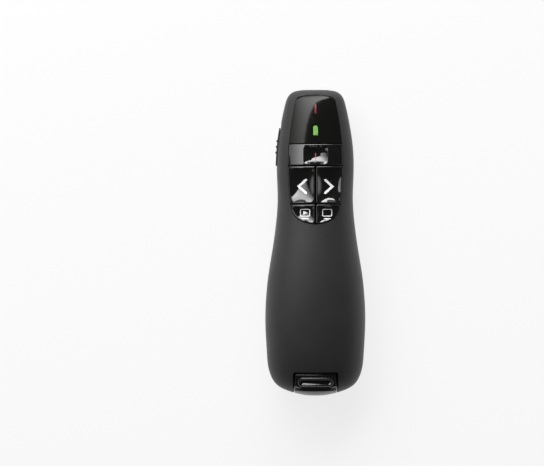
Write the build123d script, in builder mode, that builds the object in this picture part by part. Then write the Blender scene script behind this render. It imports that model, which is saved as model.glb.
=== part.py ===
"""Wireless presentation clicker: a hand-held remote with five keys, a side power switch,
a laser pointer in the nose, two AAA cells behind a sliding door and a USB receiver in the tail.

Frame: +X to the user's right, +Y towards the laser nose, +Z out of the keys. The origin is at
the middle of the body on the surface that it lies on. All sizes are in millimetres.
"""

import math
import os

from build123d import *

# ---------------------------------------------------------------- overall form
body_length = 115.5
body_width = 37.8
body_height = 27.4
wall = 1.8
seam_tail_share = 0.496  # height of the parting line at the tail, as a share of the body's height
seam_nose_share = 0.365
top_fullness = 0.62  # height share of the control point above the widest line
top_shoulder = 0.86  # width share of the control point beside the crown
belly_fullness = 0.75
belly_shoulder = 0.90
seam_overrun = 1.0  # how far a lofted half runs past the seam before it is trimmed
seam_groove = 0.3  # width and depth of the groove where the covers meet

# Cross-sections from tail to nose: place (-1 tail, 1 nose), then half width, top and underside
# as shares of half the body's width and of its height. The belly dips under 0 and is cut flat.
stations = [
    (-1.000, 0.170, 0.590, 0.400),
    (-0.994, 0.290, 0.657, 0.300),
    (-0.977, 0.466, 0.737, 0.190),
    (-0.952, 0.665, 0.803, 0.105),
    (-0.925, 0.783, 0.847, 0.047),
    (-0.883, 0.872, 0.890, 0.006),
    (-0.821, 0.936, 0.931, -0.008),
    (-0.715, 0.971, 0.971, -0.014),
    (-0.520, 1.000, 1.000, -0.016),
    (-0.350, 0.983, 0.996, -0.016),
    (-0.192, 0.931, 0.974, -0.014),
    (-0.035, 0.852, 0.938, -0.012),
    (0.121, 0.788, 0.894, 0.008),
    (0.277, 0.753, 0.858, 0.055),
    (0.485, 0.771, 0.814, 0.108),
    (0.646, 0.749, 0.777, 0.135),
    (0.803, 0.673, 0.730, 0.150),
    (0.907, 0.603, 0.675, 0.172),
    (0.959, 0.540, 0.620, 0.201),
    (0.984, 0.460, 0.558, 0.230),
    (0.995, 0.365, 0.500, 0.255),
    (1.000, 0.265, 0.453, 0.266),
]
# An inner face needs fewer sections: most at the ends, where the form turns quickly.
inner_stations = [stations[i] for i in (0, 2, 4, 5, 6, 9, 12, 15, 17, 19, 21)]

# ---------------------------------------------------------------- keys and window
island_front = 55.8
island_front_corner_y = 54.8
island_front_half = 7.2
island_middle_y = 34.4
island_middle_half = 10.08
island_shoulder_y = 12.6
island_shoulder_half = 9.05
island_back_half = 5.9  # half width at the end of the round back edge
island_back_rise = 1.55  # of that place over the island's back end
island_back = 7.0
island_corner = 2.2
window_line = 37.25  # middle of the gap between the window and the laser key
laser_line = 28.9
arrow_line = 14.5
key_gap = 0.45  # between neighbouring keys
island_gap = 0.2  # between the keys and the cover all round
window_thickness = 1.1
window_edge = 0.15
window_gap = 0.1
window_ledge = 1.2
key_travel = 0.4
key_corner = 0.4
key_depth = 3.2  # of the deepest key wall, from the body's crown down to the key's lower edge
key_skirt = 1.0
key_pocket = 0.9
key_edge = 0.28  # rounding of the keys' upper edges
dish_margin = 0.5
dish_corner = 1.6
dish_step = 0.12  # crisp step all round a dish
dish_steepness = 2.3  # 2 is a plain bowl, and more is a flatter floor with steeper sides
dish_overrun = 1.1  # share by which a dish's floor is made larger than its outline
arrow_dish_depth = 2.1
laser_dish_width = 9.3
laser_dish_depth = 1.8
lower_dish_depth = 1.3
lower_dish_corner = 0.7

# ---------------------------------------------------------------- circuit board and key frame
board_bottom = 12.4
board_thickness = 0.8
board_back = 0.6
board_front = 52.4
board_half_width = 10.6
board_nose_half_width = 6.6
board_taper_start = 41.0
switch_base = 5.2
switch_base_height = 1.6
plunger_radius = 1.3
plunger_height = 0.6  # above the base
plunger_root = 0.5  # inside the base
plunger_clearance = 0.12
laser_switch = (0.0, 33.0)
arrow_switch = (5.1, 21.4)
lower_switch = (4.6, 11.4)
post_radius = 1.5
post_clearance = 0.15
frame_thickness = 0.9
frame_clearance = 0.15  # over the travel, between the keys and the frame
frame_half_width = 9.2
frame_back = 7.6
frame_front = 40.4
frame_tongue_half_width = 3.4
frame_tongue_front = 50.0
leg_place = (8.3, 16.4)
leg_front_place = (2.9, 46.6)
leg_width = 1.6
leg_thickness = 0.8
leg_barb = 0.4
leg_clearance = 0.12
peg_place = (6.0, 45.2)
peg_post_radius = 1.5
peg_radius = 0.6
peg_clearance = 0.06

# ---------------------------------------------------------------- screws
screw_place = (9.0, 4.5)
screw_radius = 1.0
screw_hole_clearance = 0.15
screw_pilot_clearance = 0.03
screw_head_radius = 1.9
screw_head_height = 1.4
screw_head_clearance = 0.2
screw_seat = 8.2
screw_length = 11.6
screw_tip_clearance = 0.4
lower_boss_radius = 3.0
upper_boss_radius = 2.2

# ---------------------------------------------------------------- snap hooks along the sides
snap_places = (-38.0, -14.0)
snap_width = 6.0
snap_thickness = 1.0
snap_reach = 4.4  # under the seam
snap_root = 5.5  # above the seam
snap_gap = 1.0
catch_width = 3.4
catch_height = 1.2
catch_drop = 3.0  # of the catch's middle under the seam
catch_clearance = 0.15

# ---------------------------------------------------------------- laser module
laser_height = 9.9
barrel_radius = 2.3
barrel_back = 43.4
barrel_front = 53.0
barrel_lip = 0.4
lens_radius = 1.85
lens_thickness = 1.0
lens_opening = 1.5
diode_radius = 1.35
diode_length = 1.6
diode_flange_radius = 1.85
diode_flange_thickness = 0.6
diode_depth = 1.0  # of the flange's back inside the barrel
cradle_places = (45.6, 50.4)
cradle_thickness = 1.2
cradle_half_width = 3.6
driver_size = (3.2, 4.6, 0.8)
lead_radius = 0.3
lead_spread = 0.9
nose_window_radius = 1.9
nose_window_recess = 0.2
nose_window_seat = 55.6
nose_flange_radius = 2.4
nose_flange_thickness = 0.5
nose_window_clearance = 0.05

# ---------------------------------------------------------------- indicator lights
laser_light_y = 50.7
battery_light_y = 42.5
led_size = (1.0, 2.0, 0.8)
laser_guide_size = (1.1, 3.6)
battery_guide_size = (2.4, 4.4)
guide_gap = 0.1

# ---------------------------------------------------------------- power switch on the left side
knob_y = 36.2
knob_length = 14.4
knob_height = 4.4
knob_corner = 1.6
knob_proud = 0.4
knob_depth = 0.8
knob_bulge = 0.3
knob_clearance = 0.12
knob_travel = 2.0
knob_ribs = 3
knob_rib_pitch = 2.2
knob_rib_width = 0.7
knob_rib_proud = 0.3
stem_length = 3.0
stem_height = 2.2
stem_reach = 3.0  # from the body's surface inwards
lever_length = 1.4
lever_height = 1.2
lever_root = 1.2
slide_case_face = 3.4  # from the body's surface inwards
slide_case_depth = 4.0
slide_case_length = 8.6
slide_case_height = 3.4

# ---------------------------------------------------------------- batteries and contacts
cell_radius = 5.25
cell_length = 44.5
cell_nub_radius = 1.9
cell_nub_height = 0.8
cell_spacing = 10.8
cell_height = 7.85
cell_ceiling_gap = 0.2
bay_front = -0.9  # inner face of the bay's front wall
bay_wall = 0.9
bay_side_gap = 0.2
bay_ceiling_thickness = 1.0
bay_wall_foot = 4.6
contact_thickness = 0.4
contact_dimple = 0.4
contact_dimple_radius = 1.2
contact_size = 7.0
contact_tab_width = 1.6
contact_tab_reach = 3.4
spring_length = 3.8
spring_wire = 0.3
spring_turns = 3
spring_wide = 2.9
spring_cone = 14.0
web_places = (-46.0, -26.0, -6.0)
web_thickness = 0.9
web_foot = 7.0
web_height = 4.6

# ---------------------------------------------------------------- battery door
door_half_width = 13.2
door_front = -0.45
door_rim = 7.35  # height of the door's upper edge at the tail
door_gap = 0.15
rail_width = 0.5
rail_thickness = 0.6
rail_front = -6.0
rail_back = -46.0
rail_clearance = 0.15
door_rib = 0.6
latch_width = 3.0
latch_reach = 2.4
latch_root = 4.0
latch_thickness = 0.8
latch_clearance = 0.2
grip_width = 11.6
grip_length = 7.0
grip_front = -5.0
grip_depth = 0.5
grip_ribs = 4
grip_rib_width = 0.6

# ---------------------------------------------------------------- receiver and its dock
notch_half_width = 8.5
notch_front = -48.6
notch_corner = 1.0
receiver_gap = 0.15  # under, over and beside the receiver in its dock
notch_gap = 0.3
receiver_thickness = 7.4
receiver_wall = 0.9
receiver_shoulder = -13.6
receiver_corner = 1.2
plug_width = 12.0
plug_height = 4.5
plug_length = 11.8
plug_sheet = 0.3
plug_root = 4.0
tongue_thickness = 1.9
tongue_inset = 0.6
usb_contacts = 4
usb_contact_pitch = 2.3
usb_contact_size = (1.1, 8.0, 0.2)
receiver_board_size = (12.8, 27.0, 0.8)
receiver_chip_size = (5.0, 5.0, 0.9)
cap_draft = 3.5  # degrees, of the cap's walls
cap_sink = 0.25  # of the cap's front edge under the body
cap_ridge_drop = 4.5  # from the cap's front edge to its rear ridge
cap_crown_bow = 0.55  # of the cap's top over a straight line between them
cap_rear_bow = 1.0  # of the cap's rear wall, seen from above
cap_corner = 0.8
cap_edge = 0.2
cap_ridge_rounding = 0.4
cap_proud = 0.3  # of the cap's rear over the body
scoop_reach = 5.0  # half the distance between the scoop's round ends
scoop_radius = 1.75
scoop_depth = 0.85
scoop_y = -52.4
dock_rail = 1.0
dock_rail_height = 6.6
dock_rail_back = -47.4
dock_rib_x = 6.0
dock_rib_back = -44.0
dock_rib_front = -16.0
dock_wall = 1.0


# ---------------------------------------------------------------- shared surfaces
def share_at(y, column):
    """Value of one column of the sections at a place along the body, between neighbours."""
    place = y / (body_length / 2)
    for lower, upper in zip(stations, stations[1:]):
        if lower[0] <= place <= upper[0]:
            part = (place - lower[0]) / (upper[0] - lower[0])
            return lower[column] + part * (upper[column] - lower[column])
    return stations[-1][column]


def half_width_at(y):
    return share_at(y, 1) * body_width / 2


def crown_at(y):
    return share_at(y, 2) * body_height


def surface_height(x, y):
    """Height of the upper cover's outer surface at a place."""
    seam = seam_height(y)
    crown = (32 - 10 * top_fullness) / 20
    widths = (1, 1, top_shoulder, -top_shoulder, -1, -1)
    heights = (0, top_fullness, crown, crown, top_fullness, 0)
    low, high = 0.0, 1.0
    for _ in range(30):
        middle = (low + high) / 2
        shares = [math.comb(5, i) * middle**i * (1 - middle) ** (5 - i) for i in range(6)]
        if half_width_at(y) * sum(a * b for a, b in zip(shares, widths)) > x:
            low = middle
        else:
            high = middle
    return seam + (crown_at(y) - seam) * sum(a * b for a, b in zip(shares, heights))


def seam_height(y):
    """Height of the parting line between the covers at a place along the body."""
    part = y / body_length + 0.5
    return body_height * (seam_tail_share + (seam_nose_share - seam_tail_share) * part)


def housing_half(inset, upward, sections, straight=False):
    """Solid upper or lower half of the body, drawn in all round by inset and run past the seam."""
    fullness = top_fullness if upward else belly_fullness
    shoulder = top_shoulder if upward else belly_shoulder
    crown = (32 - 10 * fullness) / 20  # puts the quintic's crown exactly at the section's height
    with BuildPart() as half:
        for place, width_share, top_share, bottom_share in sections:
            y = place * (body_length / 2 - inset)
            half_width = width_share * body_width / 2 - inset
            seam = seam_height(place * body_length / 2)
            if upward:
                rise = top_share * body_height - inset - seam
            else:
                rise = bottom_share * body_height + inset - seam
            foot = seam - math.copysign(seam_overrun, rise)
            with BuildSketch(Plane.XZ.offset(-y)):
                with BuildLine():
                    Bezier(
                        (half_width, seam),
                        (half_width, seam + fullness * rise),
                        (shoulder * half_width, seam + crown * rise),
                        (-shoulder * half_width, seam + crown * rise),
                        (-half_width, seam + fullness * rise),
                        (-half_width, seam),
                    )
                    Polyline(
                        (-half_width, seam),
                        (-half_width, foot),
                        (half_width, foot),
                        (half_width, seam),
                    )
                make_face()
        loft(ruled=straight)
    return half.part


def block(low, high):
    """Box between two opposite corners."""
    length, width, height = [b - a for a, b in zip(low, high)]
    return Solid.make_box(length, width, height, Plane(low))


def round_bar(radius, start, end):
    """Round bar between two points."""
    axis = Plane(start, z_dir=Vector(*end) - Vector(*start))
    return Solid.make_cylinder(radius, (Vector(*end) - Vector(*start)).length, axis)


def island_face(grow):
    """Outline of the window and keys together, grown all round."""
    bow = (island_back_half**2 + island_back_rise**2) / (2 * island_back_rise)
    quarter = island_back_half / 2
    back_arc_middle = (quarter, island_back + bow - math.sqrt(bow**2 - quarter**2))
    back_arc_end = (island_back_half, island_back + island_back_rise)
    drop = island_front - island_front_corner_y
    island_front_radius = (island_front_half**2 + drop**2) / (2 * drop)
    with BuildSketch() as face:
        with BuildLine():
            back = ThreePointArc((0, island_back), back_arc_middle, back_arc_end)
            shoulder = (island_shoulder_half, island_shoulder_y)
            TangentArc(back_arc_end, shoulder, tangent=back % 1)
            middle = (island_middle_half, island_middle_y)
            ThreePointArc(shoulder, middle, (island_front_half, island_front_corner_y))
            RadiusArc(
                (island_front_half, island_front_corner_y),
                (0, island_front),
                -island_front_radius,
            )
            mirror(about=Plane.YZ)
        make_face()
        corners = [v for v in face.vertices() if v.Y > window_line and abs(v.X) > 1]
        fillet(corners, island_corner)
        if grow:
            offset(amount=grow)
    return face.sketch


def island_region(grow, low, high, left=-body_width, right=body_width):
    """Part of the island's outline between four straight lines."""
    with BuildSketch() as region:
        add(island_face(grow))
        with Locations(((left + right) / 2, (low + high) / 2)):
            Rectangle(right - left, high - low, mode=Mode.INTERSECT)
    return region.sketch


seam_plane = Plane(
    origin=(0, 0, seam_height(0)),
    x_dir=(1, 0, 0),
    z_dir=(0, seam_tail_share - seam_nose_share, body_length / body_height),
)
upper_form = housing_half(0, True, stations)
lower_form = housing_half(0, False, stations)
upper_cavity = housing_half(wall, True, inner_stations, True)
lower_cavity = housing_half(wall, False, inner_stations, True)
upper_core = housing_half(wall / 2, True, inner_stations, True)
lower_core = housing_half(wall / 2, False, inner_stations, True)
window_under = housing_half(window_thickness, True, inner_stations, True)
door_clearance = housing_half(wall + door_gap, False, inner_stations, True)

board_top = board_bottom + board_thickness
plunger_top = board_top + switch_base_height + plunger_height
key_floor = crown_at(window_line) - key_depth - 1.0
frame_top = key_floor - key_travel - frame_clearance
frame_bottom = frame_top - frame_thickness
bay_back = bay_front - 2 * contact_thickness - contact_dimple - spring_length - cell_length
bay_half_width = cell_spacing / 2 + cell_radius + bay_side_gap
bay_ceiling = cell_height + cell_radius + cell_ceiling_gap
dock_floor = bay_ceiling + bay_ceiling_thickness
receiver_bottom = dock_floor + receiver_gap
receiver_half_width = notch_half_width - notch_gap
receiver_top = receiver_bottom + receiver_thickness
plug_height_middle = receiver_bottom + receiver_thickness / 2
tail = -body_length / 2
nose = body_length / 2

contact_place = cell_spacing / 2

slope = (half_width_at(knob_y + knob_length / 2) - half_width_at(knob_y - knob_length / 2)) / knob_length
side_plane = Plane(
    origin=(-half_width_at(knob_y), knob_y, seam_height(knob_y)),
    x_dir=(-slope, 1, 0),
    z_dir=(-1, -slope, 0),
)


# ---------------------------------------------------------------- tools shared by both covers
with BuildPart() as switch_opening:
    # Pocket for the knob and slot for its stem, both longer than the piece by the travel.
    with BuildSketch(side_plane.offset(knob_proud - knob_depth - knob_clearance)):
        with Locations((knob_travel / 2, 0)):
            RectangleRounded(
                knob_length + knob_travel + 2 * knob_clearance,
                knob_height + 2 * knob_clearance,
                knob_corner,
            )
    extrude(amount=wall)
    with BuildSketch(side_plane.offset(-2 * wall)):
        with Locations((knob_travel / 2, 0)):
            Rectangle(
                stem_length + knob_travel + 2 * knob_clearance,
                stem_height + 2 * knob_clearance,
            )
    extrude(amount=3 * wall)

with BuildPart() as nose_bore:
    # Through hole for the aperture window and a wider seat for its flange behind it.
    hole = nose_window_radius + nose_window_clearance
    seat = nose_flange_radius + nose_window_clearance
    add(round_bar(hole, (0, nose_window_seat - 1, laser_height), (0, nose + 1, laser_height)))
    seat_back = nose_window_seat - nose_flange_thickness - 1.2
    add(round_bar(seat, (0, seat_back, laser_height), (0, nose_window_seat, laser_height)))

# ---------------------------------------------------------------- upper cover
with BuildPart() as dock_mouth:
    # Walls that line the receiver's notch, open towards the dock.
    outer_half = notch_half_width + dock_wall
    add(block((-outer_half, tail, 0), (outer_half, notch_front + dock_wall, body_height)))
    add(
        block((-notch_half_width, tail - 1, 0), (notch_half_width, notch_front, body_height)),
        mode=Mode.SUBTRACT,
    )
    passage_top = receiver_top + receiver_gap
    add(
        block((-notch_half_width, tail, 0), (notch_half_width, notch_front + 2 * dock_wall, passage_top)),
        mode=Mode.SUBTRACT,
    )
    bay_edge = bay_half_width + bay_wall + receiver_gap
    bay_end = bay_back - bay_wall - receiver_gap
    add(
        block((-bay_edge, bay_end, 0), (bay_edge, notch_front + 2 * dock_wall, receiver_bottom)),
        mode=Mode.SUBTRACT,
    )
    split(bisect_by=seam_plane, keep=Keep.TOP)

with BuildPart() as upper_inside:
    # Screw bosses, receiver ribs, snap tabs and the dock's mouth, trimmed to meet the wall.
    for side in (-1, 1):
        x = side * screw_place[0]
        add(round_bar(upper_boss_radius, (x, screw_place[1], board_top), (x, screw_place[1], body_height)))
        rib_x = side * dock_rib_x
        add(
            block(
                (rib_x - dock_wall / 2, dock_rib_back, receiver_top + receiver_gap),
                (rib_x + dock_wall / 2, dock_rib_front, body_height),
            )
        )
        for y in snap_places:
            seam = seam_height(y)
            face = side * (half_width_at(y) - wall - snap_gap)
            back = face - side * snap_thickness
            add(
                block(
                    (min(face, back), y - snap_width / 2, seam - snap_reach),
                    (max(face, back), y + snap_width / 2, seam + snap_root),
                )
            )
    add(dock_mouth.part)
    tab_zone = block(
        (-body_width, snap_places[0] - snap_width, 0),
        (body_width, snap_places[-1] + snap_width, seam_height(tail) + 0.5),
    )
    add(upper_core + tab_zone, mode=Mode.INTERSECT)

with BuildPart() as window_pocket:
    # Recess for the window: from the body's surface down to the window's underside.
    with BuildSketch():
        add(island_region(window_gap, window_line - island_gap, body_length))
    extrude(amount=2 * body_height)
    add(window_under, mode=Mode.SUBTRACT)
    split(bisect_by=seam_plane, keep=Keep.TOP)

with BuildPart() as groove:
    # Outer rim of the upper cover along the parting line.
    add(upper_form)
    add(housing_half(seam_groove, True, stations), mode=Mode.SUBTRACT)
    split(bisect_by=seam_plane, keep=Keep.TOP)
    split(bisect_by=seam_plane.offset(seam_groove), keep=Keep.BOTTOM)

with BuildPart() as top_cover:
    add(upper_form)
    add(upper_cavity, mode=Mode.SUBTRACT)
    split(bisect_by=seam_plane, keep=Keep.TOP)
    add(upper_inside.part)
    with BuildSketch(Plane.XY.offset(board_top)):
        add(island_region(island_gap, 0, window_line - island_gap))
        add(island_region(-window_ledge, window_line + window_ledge, body_length))
    extrude(amount=body_height, mode=Mode.SUBTRACT)
    add(window_pocket.part, mode=Mode.SUBTRACT)
    with BuildSketch(Plane.XY):
        with Locations((0, (tail + notch_front) / 2)):
            Rectangle(2 * notch_half_width, notch_front - tail)
        fillet(vertices().group_by(Axis.Y)[-1], notch_corner)
    extrude(amount=body_height, mode=Mode.SUBTRACT)
    add(switch_opening.part, mode=Mode.SUBTRACT)
    add(nose_bore.part, mode=Mode.SUBTRACT)
    add(groove.part, mode=Mode.SUBTRACT)
    for side in (-1, 1):
        x = side * screw_place[0]
        pilot = screw_radius + screw_pilot_clearance
        tip = screw_seat + screw_length + screw_tip_clearance
        add(round_bar(pilot, (x, screw_place[1], 0), (x, screw_place[1], tip)), mode=Mode.SUBTRACT)
        for y in snap_places:
            catch = seam_height(y) - catch_drop
            half = catch_width / 2 + catch_clearance
            rise = catch_height / 2 + catch_clearance
            add(
                block(
                    (min(side * bay_half_width, side * body_width), y - half, catch - rise),
                    (max(side * bay_half_width, side * body_width), y + half, catch + rise),
                ),
                mode=Mode.SUBTRACT,
            )
top_cover.part.label = "top_cover"

# ---------------------------------------------------------------- lower cover
bay_outer = bay_half_width + bay_wall
bay_rear = bay_back - bay_wall
opening_front = door_front + door_gap
with BuildPart() as battery_bay:
    # Box for the cells, open underneath, with outward rails along its lower edges.
    add(block((-bay_outer, bay_rear, bay_wall_foot), (bay_outer, bay_front + bay_wall, dock_floor)))
    add(block((-bay_outer, bay_rear, 0), (bay_outer, bay_back + 0.01, bay_wall_foot)))
    add(block((-bay_outer, bay_front, 0), (bay_outer, bay_front + bay_wall, bay_wall_foot)))
    for side in (-1, 1):
        edge = side * (bay_outer + rail_width)
        add(
            block(
                (min(edge, side * bay_outer), rail_back, bay_wall_foot),
                (max(edge, side * bay_outer), rail_front, bay_wall_foot + rail_thickness),
            )
        )
        for y in web_places:
            add(
                block(
                    (min(side * bay_outer, side * body_width), y - web_thickness / 2, web_foot),
                    (max(side * bay_outer, side * body_width), y + web_thickness / 2, web_foot + web_height),
                )
            )
    add(
        block((-bay_half_width, bay_back, 0), (bay_half_width, bay_front, bay_ceiling)),
        mode=Mode.SUBTRACT,
    )
    add(door_clearance + upper_core, mode=Mode.INTERSECT)

with BuildPart() as lower_inside:
    # Screw bosses, board posts and the barrel's cradle, trimmed to meet the wall.
    for side in (-1, 1):
        x = side * screw_place[0]
        add(round_bar(lower_boss_radius, (x, screw_place[1], 0), (x, screw_place[1], board_bottom)))
        x = side * peg_place[0]
        add(round_bar(peg_post_radius, (x, peg_place[1], 0), (x, peg_place[1], board_bottom)))
        add(round_bar(peg_radius, (x, peg_place[1], 0), (x, peg_place[1], board_top)))
        for y in web_places:
            add(
                block(
                    (min(side * (bay_outer + 2), side * body_width), y - web_thickness / 2, web_foot),
                    (max(side * (bay_outer + 2), side * body_width), y + web_thickness / 2, web_foot + web_height),
                )
            )
        for y in snap_places:
            catch = seam_height(y) - catch_drop
            inner = half_width_at(y) - wall - snap_gap - snap_thickness
            add(
                block(
                    (min(side * inner, side * body_width), y - catch_width / 2, catch - catch_height / 2),
                    (max(side * inner, side * body_width), y + catch_width / 2, catch + catch_height / 2),
                )
            )
    for y in cradle_places:
        low = (-cradle_half_width, y - cradle_thickness / 2, 0)
        high = (cradle_half_width, y + cradle_thickness / 2, laser_height)
        add(block(low, high))
    add(block((-bay_outer, opening_front, 0), (bay_outer, opening_front + 1.2, bay_wall_foot)))
    add(lower_core, mode=Mode.INTERSECT)

with BuildPart() as dock:
    # Side rails, stop wall and tail sill around the receiver.
    rail_in = receiver_half_width + receiver_gap
    rail_out = rail_in + dock_rail
    rail_top = dock_floor + dock_rail_height
    add(block((-rail_out, dock_rail_back, bay_ceiling), (rail_out, bay_front + bay_wall, rail_top)))
    add(block((-rail_in, tail, dock_floor), (rail_in, bay_front, body_height)), mode=Mode.SUBTRACT)
    add(block((-receiver_half_width, tail, bay_ceiling), (receiver_half_width, bay_back, dock_floor)))
    add(upper_form + lower_form, mode=Mode.INTERSECT)

with BuildPart() as bottom_cover:
    add(lower_form)
    add(lower_cavity, mode=Mode.SUBTRACT)
    split(bisect_by=seam_plane, keep=Keep.BOTTOM)
    split(bisect_by=Plane.XY, keep=Keep.TOP)
    opening_half = door_half_width + door_gap
    add(
        block((-opening_half, tail - 1, -1), (opening_half, opening_front, door_rim + door_gap)),
        mode=Mode.SUBTRACT,
    )
    add(lower_inside.part)
    add(battery_bay.part)
    add(dock.part)
    latch_half = latch_width / 2 + latch_clearance
    latch_top = wall + latch_thickness + 2 * latch_clearance
    add(block((-latch_half, bay_front - 1, 0.5), (latch_half, opening_front + 0.01, latch_top)), mode=Mode.SUBTRACT)
    add(
        block(
            (-latch_half, opening_front, wall),
            (latch_half, door_front + latch_reach + latch_clearance, latch_top),
        ),
        mode=Mode.SUBTRACT,
    )
    add(block((-latch_half, bay_rear - 1, 0), (latch_half, bay_back + 0.5, latch_top + 1)), mode=Mode.SUBTRACT)
    for side in (-1, 1):
        x = side * screw_place[0]
        y = screw_place[1]
        add(round_bar(screw_radius + screw_hole_clearance, (x, y, -1), (x, y, board_top)), mode=Mode.SUBTRACT)
        recess = screw_head_radius + screw_head_clearance
        add(round_bar(recess, (x, y, -1), (x, y, screw_seat)), mode=Mode.SUBTRACT)
        tab_x = side * contact_place
        add(
            block(
                (tab_x - contact_tab_width / 2 - 0.1, bay_front - 0.5, board_bottom - contact_thickness - 0.1),
                (tab_x + contact_tab_width / 2 + 0.1, bay_front + bay_wall + 0.5, board_bottom),
            ),
            mode=Mode.SUBTRACT,
        )
    add(
        round_bar(barrel_radius, (0, barrel_back, laser_height), (0, barrel_front, laser_height)),
        mode=Mode.SUBTRACT,
    )
    add(switch_opening.part, mode=Mode.SUBTRACT)
    add(nose_bore.part, mode=Mode.SUBTRACT)
bottom_cover.part.label = "bottom_cover"

# ---------------------------------------------------------------- battery door
with BuildPart() as door_inside:
    # Side ribs with lips that hook over the bay's rails, and the front tongue.
    for side in (-1, 1):
        lip_edge = side * (bay_outer + rail_clearance)
        rib_in = side * (bay_outer + rail_width + rail_clearance)
        rib_out = side * (bay_outer + rail_width + rail_clearance + door_rib)
        lip_low = bay_wall_foot + rail_thickness + rail_clearance
        lip_high = lip_low + rail_thickness
        add(block((min(rib_in, rib_out), rail_back, 0), (max(rib_in, rib_out), rail_front, lip_high)))
        add(
            block(
                (min(lip_edge, rib_out), rail_back, lip_low),
                (max(lip_edge, rib_out), rail_front, lip_high),
            )
        )
    add(
        block(
            (-latch_width / 2, door_front - latch_root, 0),
            (latch_width / 2, door_front, wall + latch_clearance + latch_thickness),
        )
    )
    add(lower_core, mode=Mode.INTERSECT)
    add(
        block(
            (-latch_width / 2, door_front - latch_root, wall + latch_clearance),
            (latch_width / 2, door_front + latch_reach, wall + latch_clearance + latch_thickness),
        )
    )

with BuildPart() as battery_door:
    add(lower_form)
    add(lower_cavity, mode=Mode.SUBTRACT)
    add(
        block((-door_half_width, tail - 1, 0), (door_half_width, door_front, door_rim)),
        mode=Mode.INTERSECT,
    )
    for side in (-1, 1):
        # Way for the bay's wall and rail as the door slides.
        channel_in = side * (bay_half_width - rail_clearance)
        channel_out = side * (bay_outer + rail_width + rail_clearance)
        add(
            block(
                (min(channel_in, channel_out), tail, bay_wall_foot - rail_clearance),
                (max(channel_in, channel_out), door_front + 1, body_height),
            ),
            mode=Mode.SUBTRACT,
        )
    add(door_inside.part)
    with BuildSketch(Plane.XY):
        with Locations((0, grip_front - grip_length / 2)):
            RectangleRounded(grip_width, grip_length, 1.5)
    extrude(amount=grip_depth, mode=Mode.SUBTRACT)
    with BuildSketch(Plane.XY):
        with Locations((0, grip_front - grip_length / 2)):
            with GridLocations(0, grip_length / grip_ribs, 1, grip_ribs):
                SlotOverall(grip_width - 2, grip_rib_width)
    extrude(amount=grip_depth)
battery_door.part.label = "battery_door"

# ---------------------------------------------------------------- window and keys
with BuildPart() as indicator_window:
    with BuildSketch(Plane.XY):
        add(island_region(0, window_line, body_length))
    extrude(amount=body_height)
    add(upper_form, mode=Mode.INTERSECT)
    fillet(indicator_window.faces().sort_by(Axis.Z)[-1].edges(), window_edge)
    add(window_under, mode=Mode.SUBTRACT)
indicator_window.part.label = "indicator_window"


def dish_floor(outline, depth):
    """Face that bounds a dish below: a bowl sunk into the body's surface, over the outline's whole box."""
    box = outline.bounding_box()
    middle = box.center()
    steps = 8
    rows = []
    for i in range(steps + 1):
        across = dish_overrun * (2 * i / steps - 1)
        row = []
        for j in range(steps + 1):
            along = dish_overrun * (2 * j / steps - 1)
            x = middle.X + across * box.size.X / 2
            y = middle.Y + along * box.size.Y / 2
            hollow = (1 - abs(across) ** dish_steepness) * (1 - abs(along) ** dish_steepness)
            row.append(Vector(x, y, surface_height(x, y) - dish_step - depth * hollow))
        rows.append(row)
    return Face.make_surface_from_array_of_points(rows, tol=0.003)


def key_cap(outline, dish_face, depth, place):
    """Key with a skirt, rounded upper edges, a dished top and a post that reaches its switch."""
    with BuildPart() as hollow:
        add(Solid.extrude(dish_floor(dish_face, depth), Vector(0, 0, body_height)))
        with BuildSketch(Plane.XY):
            add(dish_face)
        extrude(amount=2 * body_height, mode=Mode.INTERSECT)
    with BuildPart() as cap:
        with BuildSketch(Plane.XY.offset(key_floor)):
            add(outline)
        extrude(amount=body_height)
        add(upper_form, mode=Mode.INTERSECT)
        fillet(cap.faces().sort_by(Axis.Z)[-1].edges(), key_edge)
        with BuildSketch(Plane.XY.offset(key_floor)):
            add(outline)
            offset(amount=-key_skirt, kind=Kind.INTERSECTION, mode=Mode.REPLACE)
        extrude(amount=key_pocket, mode=Mode.SUBTRACT)
        add(round_bar(post_radius, (*place, plunger_top), (*place, key_floor + key_pocket)))
        add(hollow.part, mode=Mode.SUBTRACT)
    return cap.part


def key_outline(low, high, left, right):
    """Outline of one key: its share of the island with small rounded corners."""
    with BuildSketch() as outline:
        half = key_gap / 2
        add(island_region(0, low + half, high - half, left + half, right - half))
        fillet(outline.edges().filter_by(GeomType.LINE).vertices(), key_corner)
    return outline.sketch


def dish_outline(low, high, corner):
    """Outline of the dish on one of a pair of keys, drawn in and rounded."""
    with BuildSketch() as face:
        inset = key_gap / 2 + dish_margin
        add(island_region(-dish_margin, low + inset, high - inset, inset, body_width))
        fillet(face.edges().filter_by(GeomType.LINE).vertices(), corner)
    return face.sketch


laser_outline = key_outline(laser_line, window_line, -body_width, body_width)
with BuildSketch() as laser_dish_face:
    with Locations((0, (laser_line + window_line) / 2)):
        RectangleRounded(
            laser_dish_width,
            window_line - laser_line - key_gap - 2 * key_corner,
            dish_corner,
        )
with BuildPart() as laser_button:
    add(key_cap(laser_outline, laser_dish_face.sketch, laser_dish_depth, laser_switch))
laser_button.part.label = "laser_button"

arrow_outline = key_outline(arrow_line, laser_line, 0, body_width)
with BuildPart() as forward_button:
    arrow_dish_face = dish_outline(arrow_line, laser_line, dish_corner)
    add(key_cap(arrow_outline, arrow_dish_face, arrow_dish_depth, arrow_switch))
forward_button.part.label = "forward_button"
with BuildPart() as back_button:
    add(mirror(forward_button.part, about=Plane.YZ))
back_button.part.label = "back_button"

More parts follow.
